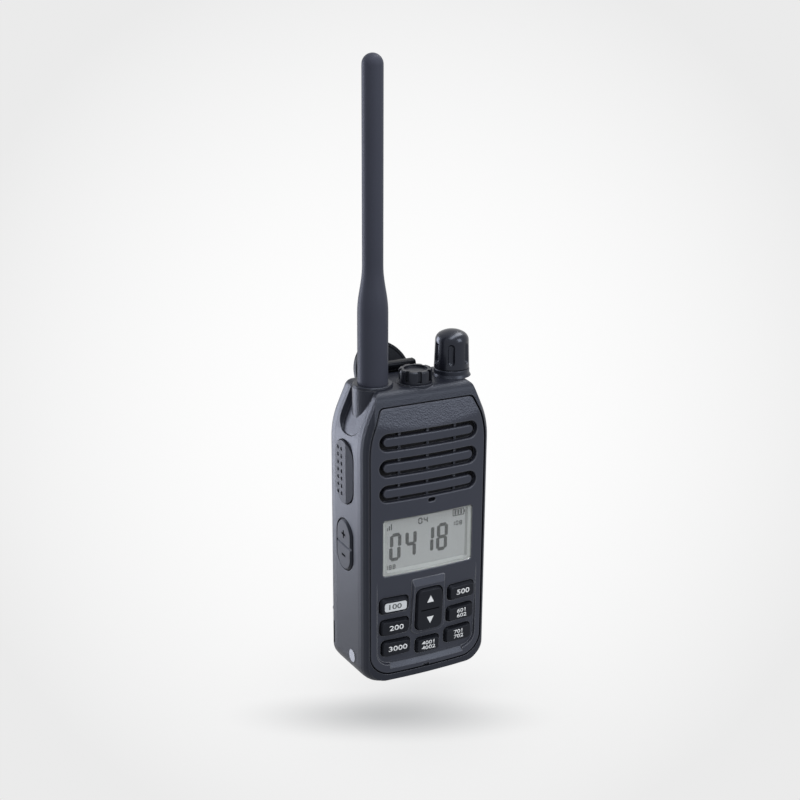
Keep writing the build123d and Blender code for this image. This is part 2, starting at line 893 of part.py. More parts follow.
def nav_island():
    """The raised ground round the up and down key, with sloping sides and a ramp at its head."""
    half = nav_width / 2 + island_margin
    foot = nav_middle - nav_height / 2 - island_margin
    head = nav_middle + nav_height / 2 + island_margin
    outline = make_face(
        FilletPolyline(
            (-half, foot),
            (half, foot),
            (half, head + island_ramp),
            (-half, head + island_ramp),
            radius=[nav_corner, nav_corner, 1, 1],
            close=True,
        )
    )
    island = slab(outline, front_y, front_y + panel_thickness - 0.6)
    island += extrude(Plane.XZ.offset(-front_y) * outline, amount=2, taper=island_draft)
    profile = make_face(
        Polyline(
            (front_y + island_foot_depth, foot - 1),
            (front_y + island_foot_depth, foot),
            (front_y - island_rise, head),
            (front_y, head + island_ramp),
            (front_y + panel_thickness, head + island_ramp),
            (front_y + panel_thickness, foot - 1),
            close=True,
        )
    )
    return island & side_slab(profile, -half - 1, half + 1)


def front_panel():
    panel = skin(panel_outline(), 0, panel_thickness)
    panel = fillet(rim_edges(panel), panel_edge_round)
    behind = front_y + 3 * panel_thickness
    for height in slot_heights:
        panel -= slab(slot_outline(height), front_y - 2, behind)
    panel -= slab(display_outline(), front_y - 2, behind)
    panel -= slab(stadium(mic_slot, mic_slot_height, mic_x, mic_height), front_y - 2, behind)
    panel = fillet(rim_edges(panel), slot_edge_round)
    panel -= key_field()
    panel += nav_island()
    for outline in side_keys.values():
        panel -= slab(outline, front_y - 3, behind)
    panel -= slab(nav_outline(), front_y - 3, behind)
    notch = (notch_x - notch_width / 2, notch_x + notch_width / 2)
    panel -= block(*notch, front_y - 2, front_y + notch_depth, panel_base - 1, panel_base + notch_height)
    return panel


def speaker_grille():
    """A curved plate whose round-ended bars stand in the slots of the panel."""
    top = panel_thickness + seat_gap
    back = top + grille_plate
    grille = skin(grille_outline(), top, back)
    for height in slot_heights:
        grille -= slab(slot_outline(height), front_y, front_y + 8)
    web_reach = int(bar_length / 2 / grille_web_pitch)
    for height in slot_heights:
        bar = skin(stadium(bar_length, bar_height, 0, height), bar_recess, back)
        grille += fillet(rim_edges(bar, bar_recess), bar_edge_round)
        for step in range(-web_reach, web_reach + 1):
            web = Pos(step * grille_web_pitch, height) * Rectangle(grille_web, slot_height + grille_rim)
            grille += skin(web, top, back)
    return grille


def speaker_mesh():
    top = panel_thickness + seat_gap + grille_plate
    return skin(grille_outline(-0.4), top, top + mesh_thickness)


# ---------------------------------------------------------------- display
def lcd_bezel():
    """The pale sloped frame between the window and the display glass."""
    seat = window_recess + window_thickness
    room = block(-half_body, half_body, front_y, glass_y + glass_thickness, 0, deck_height)
    frame = skin(display_outline(-seat_gap), seat, board_depth) & room
    frame += skin(display_outline(bezel_flange), panel_thickness + seat_gap, board_depth) & room
    inner_width = display_width - 2 * bezel_side
    inner_height = display_height - bezel_foot - bezel_head
    inner_middle = display_middle + (bezel_foot - bezel_head) / 2
    near = Plane.XZ.offset(-front_y) * display_outline(-part_gap)
    far = Plane.XZ.offset(-glass_y) * rounded(inner_width, inner_height, 0.8, 0, inner_middle)
    frame -= loft([near, far], ruled=True)
    frame -= slab(glass_outline(seat_gap), glass_y, board_front)
    return frame


def glass_outline(margin=0.0):
    width = display_width - 2 * (glass_side - margin)
    height = display_height - 2 * (glass_head - margin)
    return rounded(width, height, 0.6, 0, display_middle)


def lcd_window():
    return skin(display_outline(-seat_gap), window_recess, window_recess + window_thickness)


def lcd_module():
    module = slab(glass_outline(), glass_y, glass_y + glass_thickness)
    return module + slab(display_outline(bezel_flange / 2), glass_y + glass_thickness, board_front)


# ---------------------------------------------------------------- keys
def key(outline, rise, shank_depth=key_shank, flange_slack=0.0):
    """A drafted rubber key with a retaining flange behind the panel."""
    body = offset(outline, -key_gap)
    shank = slab(body, front_y + shank_depth, key_back)
    draft = extrude(Plane.XZ.offset(-front_y - shank_depth) * body, amount=5, taper=key_draft)
    crown = (shank + draft) & field_form(-rise)
    crown = fillet(crown.faces().sort_by(Axis.Y)[0].edges(), key_edge_round)
    foot = slab(offset(outline, key_flange), front_y, key_back)
    return crown + (foot & front_form(panel_thickness + seat_gap + flange_slack))


def pale_cap(margin=0.0):
    """The pale plate let into the crown of the upper left key, or its pocket."""
    width = key_width - 2 * (key_gap + cap_margin - margin)
    height = key_height - 2 * (key_gap + cap_margin - margin)
    middle = key_width / 2 - key_row_outers[0]
    plate = slab(rounded(width, height, 1.0, middle, key_row_heights[0]), front_y - 5, front_y + 5)
    return (plate & field_form(-key_rise - cap_proud)) - field_form(-key_rise + cap_thickness + margin)


def nav_key():
    """The up and down rocker with a groove across its middle."""
    rock = (nav_height / 2 + key_flange) * sin(radians(nav_rock))
    whole = key(nav_outline(), nav_rise, nav_shank, rock)
    groove = Pos(0, front_y - nav_rise, nav_middle) * Rot(45, 0, 0)
    return whole - groove * Box(nav_width, nav_groove, nav_groove)


def mat_outline(margin=0.0):
    height = mat_high - mat_low + 2 * margin
    return rounded(2 * (mat_half + margin), height, mat_corner, 0, (mat_low + mat_high) / 2)


def keypad_mat():
    """The rubber sheet with a dome under each key."""
    return slab(mat_outline(), mat_front, board_front)


# ---------------------------------------------------------------- boards and frame
def main_board():
    return block(-board_half, board_half, board_front, board_front + board_thickness, board_base, board_top)


def chassis():
    """The cast frame that carries both boards and stands against the battery tub."""
    frame = block(-chassis_half, chassis_half, chassis_front, chassis_back, chassis_base, chassis_top)
    frame -= rod_y(0, speaker_height, magnet_radius + 1, chassis_front - 1, chassis_back + 1)
    board_back = board_front + board_thickness
    for side in (-1, 1):
        x = side * (chassis_half - post_inset)
        for z in (chassis_base + post_foot, board_top - post_head):
            frame += rod_y(x, z, post_radius, board_back, chassis_front + 0.5)
        x = side * (chassis_half - tub_post_inset)
        for z in (chassis_base + tub_post_foot, tub_top - tub_post_head):
            frame += rod_y(x, z, post_radius, chassis_back - 0.5, tub_front)
        x = side * (rf_half - rf_post_inset)
        for z in (rf_base + rf_post_foot, rf_top - rf_post_head):
            frame += rod_y(x, z, rf_post_radius, chassis_back - 0.5, rf_front)
    left = side_board_left + switch_board
    flange_back = side_board_y - 0.5
    flange = block(left, left + flange_width, chassis_back - 1, flange_back, side_board_low, side_board_high)
    return frame + flange


def rf_board():
    return block(-rf_half, rf_half, rf_front, rf_front + rf_thickness, rf_base, rf_top)


def rf_shield():
    front = rf_front + rf_thickness
    shield_depth = tub_front - shield_gap - front
    can = block(-shield_half, shield_half, front, front + shield_depth, shield_base, shield_top)
    inner_half = shield_half - shield_wall
    can -= block(
        -inner_half, inner_half, front - 1, front + shield_depth - shield_wall,
        shield_base + shield_wall, shield_top - shield_wall,
    )
    return can


def speaker():
    front = front_y + wall_back_depth + speaker_clearance
    frame = rod_y(0, speaker_height, speaker_radius, front, front + speaker_flange)
    flange_back = front + speaker_flange
    basket = Pos(0, flange_back + basket_depth / 2, speaker_height) * Rot(-90, 0, 0)
    frame += basket * Cone(speaker_radius - 1.5, magnet_radius, basket_depth)
    return frame + rod_y(0, speaker_height, magnet_radius, flange_back + 2, front + speaker_depth)


def microphone():
    return rod_y(mic_x, mic_height, mic_radius, board_front - mic_depth, board_front)


# ---------------------------------------------------------------- transmit button, rocker, switches
def ptt_button():
    """A long side button: a pad that faces out with a facet that turns to the front."""
    pad = side_slab(ptt_outline(-ptt_gap), -ptt_face, -ptt_back)
    pad = fillet(pad.faces().sort_by(Axis.X)[0].edges(), ptt_edge_round)
    slope = ptt_facet_depth / (ptt_facet_end - ptt_facet_start)
    run = ptt_width - ptt_facet_start
    plan = make_face(
        Polyline(
            (-ptt_face - 1, ptt_y - ptt_facet_start + 1 / slope),
            (-ptt_face + slope * run, ptt_y - ptt_facet_start - run),
            (-ptt_face - 1, ptt_y - ptt_facet_start - run),
            close=True,
        )
    )
    pad -= Pos(0, 0, ptt_height - ptt_length) * extrude(plan, amount=2 * ptt_length)
    for row in range(ptt_dimple_rows):
        height = ptt_height + ptt_dimple_pitch * (row - (ptt_dimple_rows - 1) / 2)
        for y in (ptt_y + 1.0, ptt_y + 1.0 + ptt_dimple_pitch):
            pad -= rod_x(y, height, ptt_dimple_radius, -ptt_face - 1, -ptt_face + ptt_dimple_depth)
    tip = -switch_face - ptt_travel - switch_play
    return pad + rod_x(ptt_y, ptt_height, plunger_radius, -ptt_back - 0.5, tip)


def side_rocker():
    """A two-way side key that rocks on a rib across its middle."""
    pad = side_slab(rocker_outline(-ptt_gap), -rocker_face, -rocker_back)
    pad = chamfer(pad.faces().sort_by(Axis.X)[0].edges(), rocker_edge)
    groove = Box(rocker_groove, rocker_length, rocker_groove)
    pad -= Pos(-rocker_face, rocker_y, rocker_height) * Rot(0, 45, 0) * groove
    rib_radius = (rocker_back + rocker_rib - rocker_floor - fit_gap) / 2
    rib_x = -rocker_floor - fit_gap - rib_radius
    rib = Pos(rib_x, rocker_y, rocker_height) * Rot(90, 0, 0) * Cylinder(rib_radius, rocker_width - 4)
    pad += rib
    for height in rocker_ends:
        pad += rod_x(rocker_y, height, rocker_plunger, -rocker_back - 0.3, -switch_face - 0.5)
    return pad


def side_switch(y, z):
    front = y - switch_setback
    return block(-switch_face, side_board_left, front, side_board_y, z - switch_half, z + switch_half)


def side_board():
    right = side_board_left + switch_board
    return block(side_board_left, right, chassis_back + 0.2, side_board_y, side_board_low, side_board_high)


# ---------------------------------------------------------------- rear case
def rear_case():
    """The back half: side rails, the head above the pack and the tub the pack slides up into."""
    reach = half_body + 9
    shell = body_form() & block(-reach, reach, case_split, back_y + 1, -1, deck_height + 1)
    tub = block(-tub_half, tub_half, tub_front, case_split + 0.5, 0, tub_top)
    shell += tub
    shell -= block(-bay_half, bay_half, bay_front, back_y + 1, -1, bay_top)
    # grooves for the tongues of the pack
    half = bay_half + tongue_reach
    groove_back = tongue_front + tongue_depth + seat_gap
    shell -= block(-half, half, tongue_front - seat_gap, groove_back, -1, bay_top)
    # room in the head, open to the front
    half = half_body - head_side
    shell -= block(-half, half, case_split - 1, back_y - head_wall, tub_top + bay_wall, cavity_top - 1)
    # pry slots low on both rails
    for side in (-1, 1):
        ends = sorted((side * (half_body - pry_depth), side * reach))
        front = case_split + pry_setback
        shell -= block(*ends, front, front + pry_width, pry_foot, pry_foot + pry_height)
    for x in contact_places:
        shell -= post(x, pack_front + contact_setback, pin_radius + fit_gap, bay_top - 1, tub_top + 1)
    shell -= case_gasket()
    # case screws with sunk heads
    for x, z in case_screw_places():
        shell -= rod_y(x, z, screw_radius + seat_gap, case_split - 1, back_y + 1)
        head_front = back_y - screw_sink - screw_head
        shell -= rod_y(x, z, screw_head_radius + seat_gap, head_front, back_y + 1)
    for x in (-clip_screw_x, clip_screw_x):
        shell -= rod_y(x, clip_screw_height, screw_radius, back_y - 4, back_y + 1)
    return shell


def case_screw_places():
    places = []
    for side in (-1, 1):
        places.append((side * low_screw_x, low_screw_height))
        places.append((side * high_screw_x, high_screw_height))
    return places


def case_screws():
    group = Part()
    head_back = back_y - screw_sink
    for x, z in case_screw_places():
        screw = rod_y(x, z, screw_head_radius, head_back - screw_head, head_back)
        screw += rod_y(x, z, screw_radius, head_back - screw_length, head_back - screw_head)
        screw -= Pos(x, head_back, z) * Box(cross_width, 2 * cross_width, cross_length)
        screw -= Pos(x, head_back, z) * Box(cross_length, 2 * cross_width, cross_width)
        group += screw
    return group


def clip_screws():
    group = Part()
    for x in (-clip_screw_x, clip_screw_x):
        z = clip_screw_height
        head_back = bracket_back - 0.1
        screw = rod_y(x, z, screw_head_radius - 0.3, head_back - 1.0, head_back)
        screw += rod_y(x, z, screw_radius - fit_gap, back_y - 3.6, head_back - 1.0)
        group += screw
    return group


# ---------------------------------------------------------------- battery
def battery_pack():
    """The pack shell: a tray with a rounded back and two side tongues, open to the front."""
    half = pack_width / 2
    shell = block(-half, half, pack_front, back_y, pack_foot, pack_height)
    back_edges = shell.edges().filter_by(Axis.Z).sort_by(Axis.Y)[-2:]
    shell = fillet(back_edges, pack_edge_round)
    reach = half + tongue_reach
    shell += block(-reach, reach, tongue_front, tongue_front + tongue_depth, pack_foot, pack_height - 1)
    inner = half - pack_wall
    inner_back = back_y - pack_back_wall
    inner_top = pack_height - pack_head_wall
    shell -= block(-inner, inner, pack_front - 1, inner_back, pack_foot + pack_wall, inner_top)
    # thumb latch pocket and grip ribs low on the back
    half = latch_half + seat_gap
    low = latch_foot - seat_gap
    high = latch_foot + latch_height + latch_travel + seat_gap
    shell -= block(-half, half, back_y - latch_depth - seat_gap, back_y + 1, low, high)
    for row in range(grip_count):
        low = grip_foot + grip_pitch * row
        shell -= block(-grip_half, grip_half, back_y - grip_depth, back_y + 1, low, low + grip_height)
    half = contact_half + seat_gap
    front = pack_front + contact_setback - half
    low = pack_height - contact_depth
    for x in contact_places:
        shell -= block(x - half, x + half, front, front + 2 * half, low, pack_height + 1)
    return shell


def battery_cover():
    inner = pack_width / 2 - pack_wall - seat_gap
    low = pack_foot + pack_wall + seat_gap
    front = pack_front + fit_gap
    return block(-inner, inner, front, front + cover_thickness, low, pack_height - pack_head_wall - seat_gap)


def battery_cells():
    """Two flat lithium cells side by side."""
    inner = pack_width / 2 - pack_wall - cell_gap
    front = pack_front + cover_thickness + cell_gap / 2 + fit_gap
    back = back_y - pack_back_wall - cell_gap
    high = pack_height - pack_head_wall - 1.5 * cell_gap
    group = Part()
    for side in (-1, 1):
        ends = sorted((side * cell_gap / 2, side * inner))
        cell = block(*ends, front, back, pack_foot + pack_wall + cell_gap, high)
        group += fillet(cell.edges().filter_by(Axis.Z), cell_round)
    return group


def pack_contacts():
    group = Part()
    half = contact_half
    front = pack_front + contact_setback - half
    low = pack_height - contact_depth
    for x in contact_places:
        group += block(x - half, x + half, front, front + 2 * half, low, pack_height)
    return group


def battery_latch():
    low = latch_foot
    face = back_y + latch_proud
    latch = block(-latch_half, latch_half, back_y - latch_depth, face, low, low + latch_height)
    for row in range(latch_grooves):
        low = latch_foot + latch_groove_foot + latch_groove_pitch * row
        floor_y = face - latch_proud - latch_groove_depth
        latch -= block(-latch_groove_half, latch_groove_half, floor_y, face + 1, low, low + latch_groove)
    return latch


def battery_terminals():
    group = Part()
    for x in contact_places:
        group += post(x, pack_front + contact_setback, pin_radius, pack_height + fit_gap, tub_top + pin_head)
    return group


# ---------------------------------------------------------------- deck pieces
def antenna_whip():
    """The rubber-covered whip: a stout foot that slims to the upper rod."""
    foot = deck_height + part_gap
    bore = connector_radius + fit_gap
    bore_top = deck_height + connector_reach + part_gap
    waist = (antenna_flare_top - antenna_base_top) * 0.4
    profile = [
        Line((bore, foot), (antenna_base_radius, foot)),
        Line((antenna_base_radius, foot), (antenna_base_radius, antenna_base_top)),
        Bezier(
            (antenna_base_radius, antenna_base_top),
            (antenna_base_radius, antenna_base_top + waist),
            (antenna_top_radius, antenna_flare_top - waist),
            (antenna_top_radius, antenna_flare_top),
        ),
        Line((antenna_top_radius, antenna_flare_top), (antenna_top_radius, antenna_tip - antenna_top_radius)),
        CenterArc((0, antenna_tip - antenna_top_radius), antenna_top_radius, 0, 90),
        Line((0, antenna_tip), (0, bore_top)),
        Line((0, bore_top), (bore, bore_top)),
        Line((bore, bore_top), (bore, foot)),
    ]
    return Pos(antenna_x, deck_post_y) * turned(*profile)


def antenna_collar():
    ring = post(antenna_x, deck_post_y, collar_radius, deck_height, deck_height + collar_height)
    ring = chamfer(ring.faces().sort_by(Axis.Z)[-1].edges(), 0.4)
    groove_low = deck_height + (collar_height - collar_groove) / 2
    groove = post(antenna_x, deck_post_y, collar_radius + 1, groove_low, groove_low + collar_groove)
    ring -= groove - post(antenna_x, deck_post_y, collar_radius - collar_groove, groove_low, groove_low + 1)
    inner = antenna_base_radius + seat_gap
    ring -= post(antenna_x, deck_post_y, inner, deck_height - 1, deck_height + collar_height + 1)
    return ring


def antenna_connector():
    nut = post(antenna_x, deck_post_y, connector_nut_radius, cavity_top - connector_nut, cavity_top)
    top = deck_height + connector_reach
    return nut + post(antenna_x, deck_post_y, connector_radius, cavity_top - 0.5, top)


def knob_collar():
    """The ring under the knob, with a flared foot and a rounded rim."""
    top = deck_height + knob_ring_height
    ring = post(knob_x, deck_post_y, knob_ring_radius, deck_height, top)
    ring = fillet(ring.faces().sort_by(Axis.Z)[-1].edges(), knob_ring_flare)
    flare = Cone(knob_ring_radius + knob_ring_flare, knob_ring_radius, 2 * knob_ring_flare)
    ring += Pos(knob_x, deck_post_y, deck_height + knob_ring_flare) * flare
    return ring - post(knob_x, deck_post_y, shaft_radius + part_gap, deck_height - 1, top + 1)


def volume_knob():
    """A domed knob with long finger flutes, bored for its shaft."""
    # a tight arc at the shoulder runs into a flatter one over the top
    turn = radians(dome_turn)
    flatness = (1 - sin(turn)) / cos(turn)
    edge = (knob_dome - flatness * knob_top_radius) / (1 - flatness)
    drop = (knob_top_radius - edge) / cos(turn)
    profile = [
        Line((0, knob_foot), (knob_radius, knob_foot)),
        Line((knob_radius, knob_foot), (knob_top_radius, knob_shoulder)),
        CenterArc((knob_top_radius - edge, knob_shoulder), edge, 0, dome_turn),
        CenterArc((0, knob_shoulder - drop * sin(turn)), edge + drop, dome_turn, 90 - dome_turn),
        Line((0, knob_apex), (0, knob_foot)),
    ]
    half_step = 180 / flute_count
    knob = Rot(0, 0, half_step) * turned(*profile)
    low = knob_foot + flute_base - flute_radius
    high = knob_foot + flute_top + flute_radius
    for step in range(flute_count):
        turn = Rot(0, 0, 2 * half_step * step)
        reach = knob_top_radius + flute_radius - flute_bite
        flute = post(reach, 0, flute_radius, low, high)
        flute = fillet(flute.edges().filter_by(GeomType.CIRCLE), flute_radius * 0.9)
        knob -= turn * flute
    knob -= post(0, 0, shaft_radius, knob_foot - 1, shaft_top)
    return Pos(knob_x, deck_post_y) * knob


def volume_shaft():
    return post(knob_x, deck_post_y, shaft_radius, cavity_top - encoder_height + encoder_floor, shaft_top)


def encoder_block(margin=0.0):
    """The body of the volume encoder, or its pocket in the case."""
    half_x = encoder_width / 2 + margin
    half_y = encoder_length / 2 + margin
    low = cavity_top - encoder_height - margin
    return block(
        knob_x - half_x, knob_x + half_x, deck_post_y - half_y, deck_post_y + half_y, low, cavity_top
    )


def volume_encoder():
    bore_low = cavity_top - encoder_height + encoder_floor - seat_gap
    return encoder_block() - post(knob_x, deck_post_y, shaft_radius + fit_gap, bore_low, cavity_top + 1)


def accessory_jack():
    """The sleeve under the jack cap."""
    top = deck_height + jack_boss_height - 0.2
    sleeve = post(0, jack_y, jack_body_radius, jack_low, top)
    return sleeve - post(0, jack_y, jack_bore, jack_low + jack_floor, top + 1)


def jack_cap():
    """The screwed cap over the jack, with a castellated rim and a dished top."""
    cap = post(0, jack_y, jack_cap_radius, jack_cap_foot, jack_cap_top)
    cap = chamfer(cap.faces().sort_by(Axis.Z)[-1].edges(), 0.5)
    cap -= post(0, jack_y, jack_cap_radius - jack_cap_wall, jack_cap_top - jack_cap_dish, jack_cap_top + 1)
    half = cap_notch_width / 2
    low = jack_cap_top - cap_notch_depth
    cutter = block(jack_cap_radius - cap_notch_cut, jack_cap_radius + 1, -half, half, low, jack_cap_top + 1)
    for step in range(cap_notches):
        cap -= Pos(0, jack_y) * Rot(0, 0, 360 / cap_notches * step + cap_notch_turn) * cutter
    plug_low = jack_low + jack_floor + 0.4
    return cap + post(0, jack_y, jack_bore - fit_gap, plug_low, jack_cap_foot + 0.5)


def charge_studs():
    group = Part()
    for side in (-1, 1):
        face = side * (flank_x(stud_y) + stud_proud)
        group += rod_x(stud_y, stud_height, stud_radius, *sorted((face, side * stud_back)))
        ends = sorted((side * (stud_back + seat_gap), side * (board_half + 2 * seat_gap)))
        group += rod_x(stud_y, stud_height, stud_pin_radius, *ends)
    return group


def case_gasket():
    """The seal pressed between the case halves, over the head and down both sides."""
    edge = body_outline(0, 0)
    ring = offset(edge, -gasket_inset) - offset(edge, -gasket_inset - gasket_width)
    seal = slab(ring, case_split - gasket_width / 2, case_split + gasket_width / 2)
    return seal - block(-half_body, half_body, case_split - 1, case_split + 1, -1, base_corner)


# ---------------------------------------------------------------- belt clip
def clip_bracket():
    """A plate on the rear case with two ears for the pin and a lanyard bar over the deck edge."""
    back = bracket_back
    plate = block(-bracket_half, bracket_half, back_y, back, bracket_base, deck_height)
    hump = block(-hump_half, hump_half, hump_front, back, deck_height, bracket_top)
    hump_edge = hump.edges().filter_by(Axis.X).sort_by(Axis.Z)[-2:]
    hump = fillet(hump_edge, hump_round)
    slot_half = hump_half - hump_wall
    hump_room = bracket_top - hump_bar
    hump -= block(-slot_half, slot_half, hump_front - 1, back - hump_wall, deck_height, hump_room)
    bracket = plate + hump
    ear_back = clip_pin_y + ear_radius / 2
    ear = Polyline(
        (back - 0.5, clip_pin_height - ear_foot),
        (ear_back, clip_pin_height - 0.86 * ear_radius),
        (ear_back, clip_pin_height + 0.86 * ear_radius),
        (back - 0.5, clip_pin_height + ear_foot),
        close=True,
    )
    for left in (-bracket_half, bracket_half - ear_thickness):
        lug = side_slab(make_face(ear), left, left + ear_thickness)
        lug += rod_x(clip_pin_y, clip_pin_height, ear_radius, left, left + ear_thickness)
        bracket += lug
    bracket -= rod_x(clip_pin_y, clip_pin_height, clip_pin_radius, -2 * bracket_half, 2 * bracket_half)
    for x in (-clip_screw_x, clip_screw_x):
        bracket -= rod_y(x, clip_screw_height, screw_radius, back_y - 1, back + 1)
        bracket -= rod_y(x, clip_screw_height, screw_head_radius - 0.2, back - 1.1, back + 1)
    return bracket


def clip_pin():
    reach = bracket_half + part_gap
    return rod_x(clip_pin_y, clip_pin_height, clip_pin_radius, -reach, reach)


def clip_spring():
    """The torsion coil on the pin, with one leg against the bracket."""
    coil = Part()
    first = -spring_pitch * (spring_turns - 1) / 2
    for turn in range(spring_turns):
        ring = Rot(0, 90, 0) * Torus(spring_radius, spring_wire)
        coil += Pos(first + spring_pitch * turn, clip_pin_y, clip_pin_height) * ring
    return coil + rod_y(first, clip_pin_height - spring_radius, 0.5, bracket_back, clip_pin_y)


def belt_clip():
    """The sprung lever: a long blade, knuckles on the pin and a round thumb paddle that leans back."""
    blade_y = back_y + clip_belt_gap + clip_thickness / 2
    tip_y = back_y + clip_tip_gap + clip_thickness / 2
    lean = tan(radians(paddle_lean))
    # the leaning part runs just behind the pin, joined to the knuckles
    behind_pin = clip_pin_y + (knuckle_radius - clip_thickness / 3) / cos(radians(paddle_lean))
    bend_z = clip_pin_height - (behind_pin - blade_y) / lean
    top_z = paddle_height + paddle_radius + 1
    path = FilletPolyline(
        (tip_y, clip_foot - 1),
        (tip_y, clip_foot + clip_toe),
        (blade_y, clip_foot + clip_ramp),
        (blade_y, bend_z),
        (behind_pin + (top_z - clip_pin_height) * lean, top_z),
        radius=[4, 12, 8],
    )
    side = trace(path, line_width=clip_thickness)
    sheet = side_slab(side, -paddle_radius, paddle_radius)
    neck_low = clip_pin_height - 6.5
    neck_high = clip_pin_height + 4.8
    blade = rounded(2 * clip_half, neck_low - clip_foot, 5, 0, (neck_low + clip_foot) / 2)
    neck = Pos(0, (neck_low + neck_high) / 2) * Rectangle(2 * clip_neck_half, neck_high - neck_low + 12)
    paddle = Pos(0, paddle_height) * Circle(paddle_radius)
    paddle -= Pos(0, neck_high - paddle_radius) * Rectangle(4 * paddle_radius, 2 * paddle_radius)
    outline = blade + neck + paddle
    room = back_y + 2 * paddle_radius + clip_pin_reach
    lever = sheet & slab(outline, back_y, room)
    # the paddle is dished inside a narrow rim
    dish = rod_y(0, paddle_height, paddle_radius - paddle_rim, back_y, room)
    dish -= block(-half_body, half_body, back_y, room, 0, neck_high + paddle_rim)
    lever -= dish & (lever - Pos(0, paddle_dish) * sheet)
    knuckle = rod_x(clip_pin_y, clip_pin_height, knuckle_radius, -clip_neck_half, clip_neck_half)
    lever += knuckle
    lever -= rod_x(clip_pin_y, clip_pin_height, clip_pin_radius + fit_gap, -20, 20)
    low = clip_pin_height - spring_room
    high = clip_pin_height + spring_room
    lever -= block(-spring_room_half, spring_room_half, back_y, clip_pin_y + spring_room, low, high)
    return lever


# ---------------------------------------------------------------- write every node
save("front_case", front_case())
save("front_panel", front_panel())
save("speaker_grille", speaker_grille())
save("speaker_mesh", speaker_mesh())
save("speaker", speaker())
save("microphone", microphone())
save("lcd_bezel", lcd_bezel())
save("lcd_window", lcd_window())
save("lcd_module", lcd_module())
save("keypad_mat", keypad_mat())
save("main_board", main_board())
save("chassis", chassis())
save("rf_board", rf_board())
save("rf_shield", rf_shield())
save("side_board", side_board())
save("ptt_switch", side_switch(ptt_y, ptt_height))
save("rocker_switch_upper", side_switch(rocker_y, rocker_height + rocker_throw))
save("rocker_switch_lower", side_switch(rocker_y, rocker_height - rocker_throw))
save("ptt_button", ptt_button())
save("side_rocker", side_rocker())
for name, outline in side_keys.items():
    if name == "key_left_top":
        save(name, key(outline, key_rise) - pale_cap(seat_gap / 2))
    else:
        save(name, key(outline, key_rise))
save("pale_key_cap", pale_cap())
save("nav_key", nav_key())
save("volume_encoder", volume_encoder())
save("volume_shaft", volume_shaft())
save("volume_knob", volume_knob())
save("knob_collar", knob_collar())
save("antenna_whip", antenna_whip())
save("antenna_collar", antenna_collar())
save("antenna_connector", antenna_connector())
save("accessory_jack", accessory_jack())
save("jack_cap", jack_cap())
save("charge_studs", charge_studs())
save("case_gasket", case_gasket())
save("rear_case", rear_case())
save("case_screws", case_screws())
save("battery_terminals", battery_terminals())
save("battery_pack", battery_pack())
save("battery_cover", battery_cover())
save("battery_cells", battery_cells())
save("pack_contacts", pack_contacts())
save("battery_latch", battery_latch())
save("clip_bracket", clip_bracket())
save("clip_screws", clip_screws())
save("clip_pin", clip_pin())
save("clip_spring", clip_spring())
save("belt_clip", belt_clip())
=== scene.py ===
import math

import bpy
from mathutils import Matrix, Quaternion, Vector


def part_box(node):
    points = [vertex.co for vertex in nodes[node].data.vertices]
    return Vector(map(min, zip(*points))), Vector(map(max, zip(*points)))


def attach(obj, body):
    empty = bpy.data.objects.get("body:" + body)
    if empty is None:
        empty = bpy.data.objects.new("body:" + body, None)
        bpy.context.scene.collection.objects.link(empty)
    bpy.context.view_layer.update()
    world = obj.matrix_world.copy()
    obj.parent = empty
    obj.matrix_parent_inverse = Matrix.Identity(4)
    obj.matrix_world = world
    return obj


# A handheld marine radio: a two-part charcoal case with a slotted front panel, rubber keys, an LCD,
# a stub antenna, a volume knob, a screwed jack cap, side buttons, a slide-in battery and a belt clip.
# Metres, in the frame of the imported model: X right as seen by the user, Y back, Z up.
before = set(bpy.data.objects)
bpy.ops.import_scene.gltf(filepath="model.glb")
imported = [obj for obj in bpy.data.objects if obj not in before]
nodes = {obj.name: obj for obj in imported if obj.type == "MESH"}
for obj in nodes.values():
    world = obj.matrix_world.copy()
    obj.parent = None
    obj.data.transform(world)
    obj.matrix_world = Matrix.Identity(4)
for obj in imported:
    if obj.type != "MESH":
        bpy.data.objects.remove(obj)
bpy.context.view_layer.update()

# ---------------------------------------------------------------- camera
# A long lens at the front left, a little above the radio, level but for a hair of roll.
camera_place = Vector((-0.25042, -0.47784, 0.29614))
heading = math.radians(27.112)
dip = math.radians(18.027)
roll = math.radians(0.327)
look = Vector((math.sin(heading) * math.cos(dip), math.cos(heading) * math.cos(dip), -math.sin(dip)))
bpy.ops.object.camera_add(location=camera_place)
camera = bpy.context.object
camera.name = "studio_camera"
camera.data.lens = 60.9
camera.data.sensor_width = 36.0
camera.data.clip_start = 0.01
camera.rotation_mode = "QUATERNION"
camera.rotation_quaternion = look.to_track_quat("-Z", "Y") @ Quaternion((0, 0, 1), roll)
bpy.context.scene.camera = camera
bpy.context.scene.view_settings.view_transform = "Standard"


# ---------------------------------------------------------------- studio light
# A surround that is seen and mirrored as near white, a little darker away from the middle, and lights the
# radio at less than half of that. Soft lamps stand behind on the left, in front on the right, and above.
def add_node(tree, kind, operation=None, **inputs):
    """A shader node with its inputs set. An underscore in an input's name stands for a blank."""
    node = tree.nodes.new("ShaderNode" + kind)
    if operation:
        node.operation = operation
    for name, value in inputs.items():
        node.inputs[name.replace("_", " ")].default_value = value
    return node


def add_ramp(tree, *stops, interpolation="LINEAR"):
    """A colour ramp through stops, each a position and a colour."""
    ramp = add_node(tree, "ValToRGB")
    ramp.color_ramp.interpolation = interpolation
    elements = ramp.color_ramp.elements
    elements.remove(elements[-1])
    first, *others = stops
    elements[0].position, elements[0].color = first
    for position, colour in others:
        elements.new(position).color = colour
    return ramp


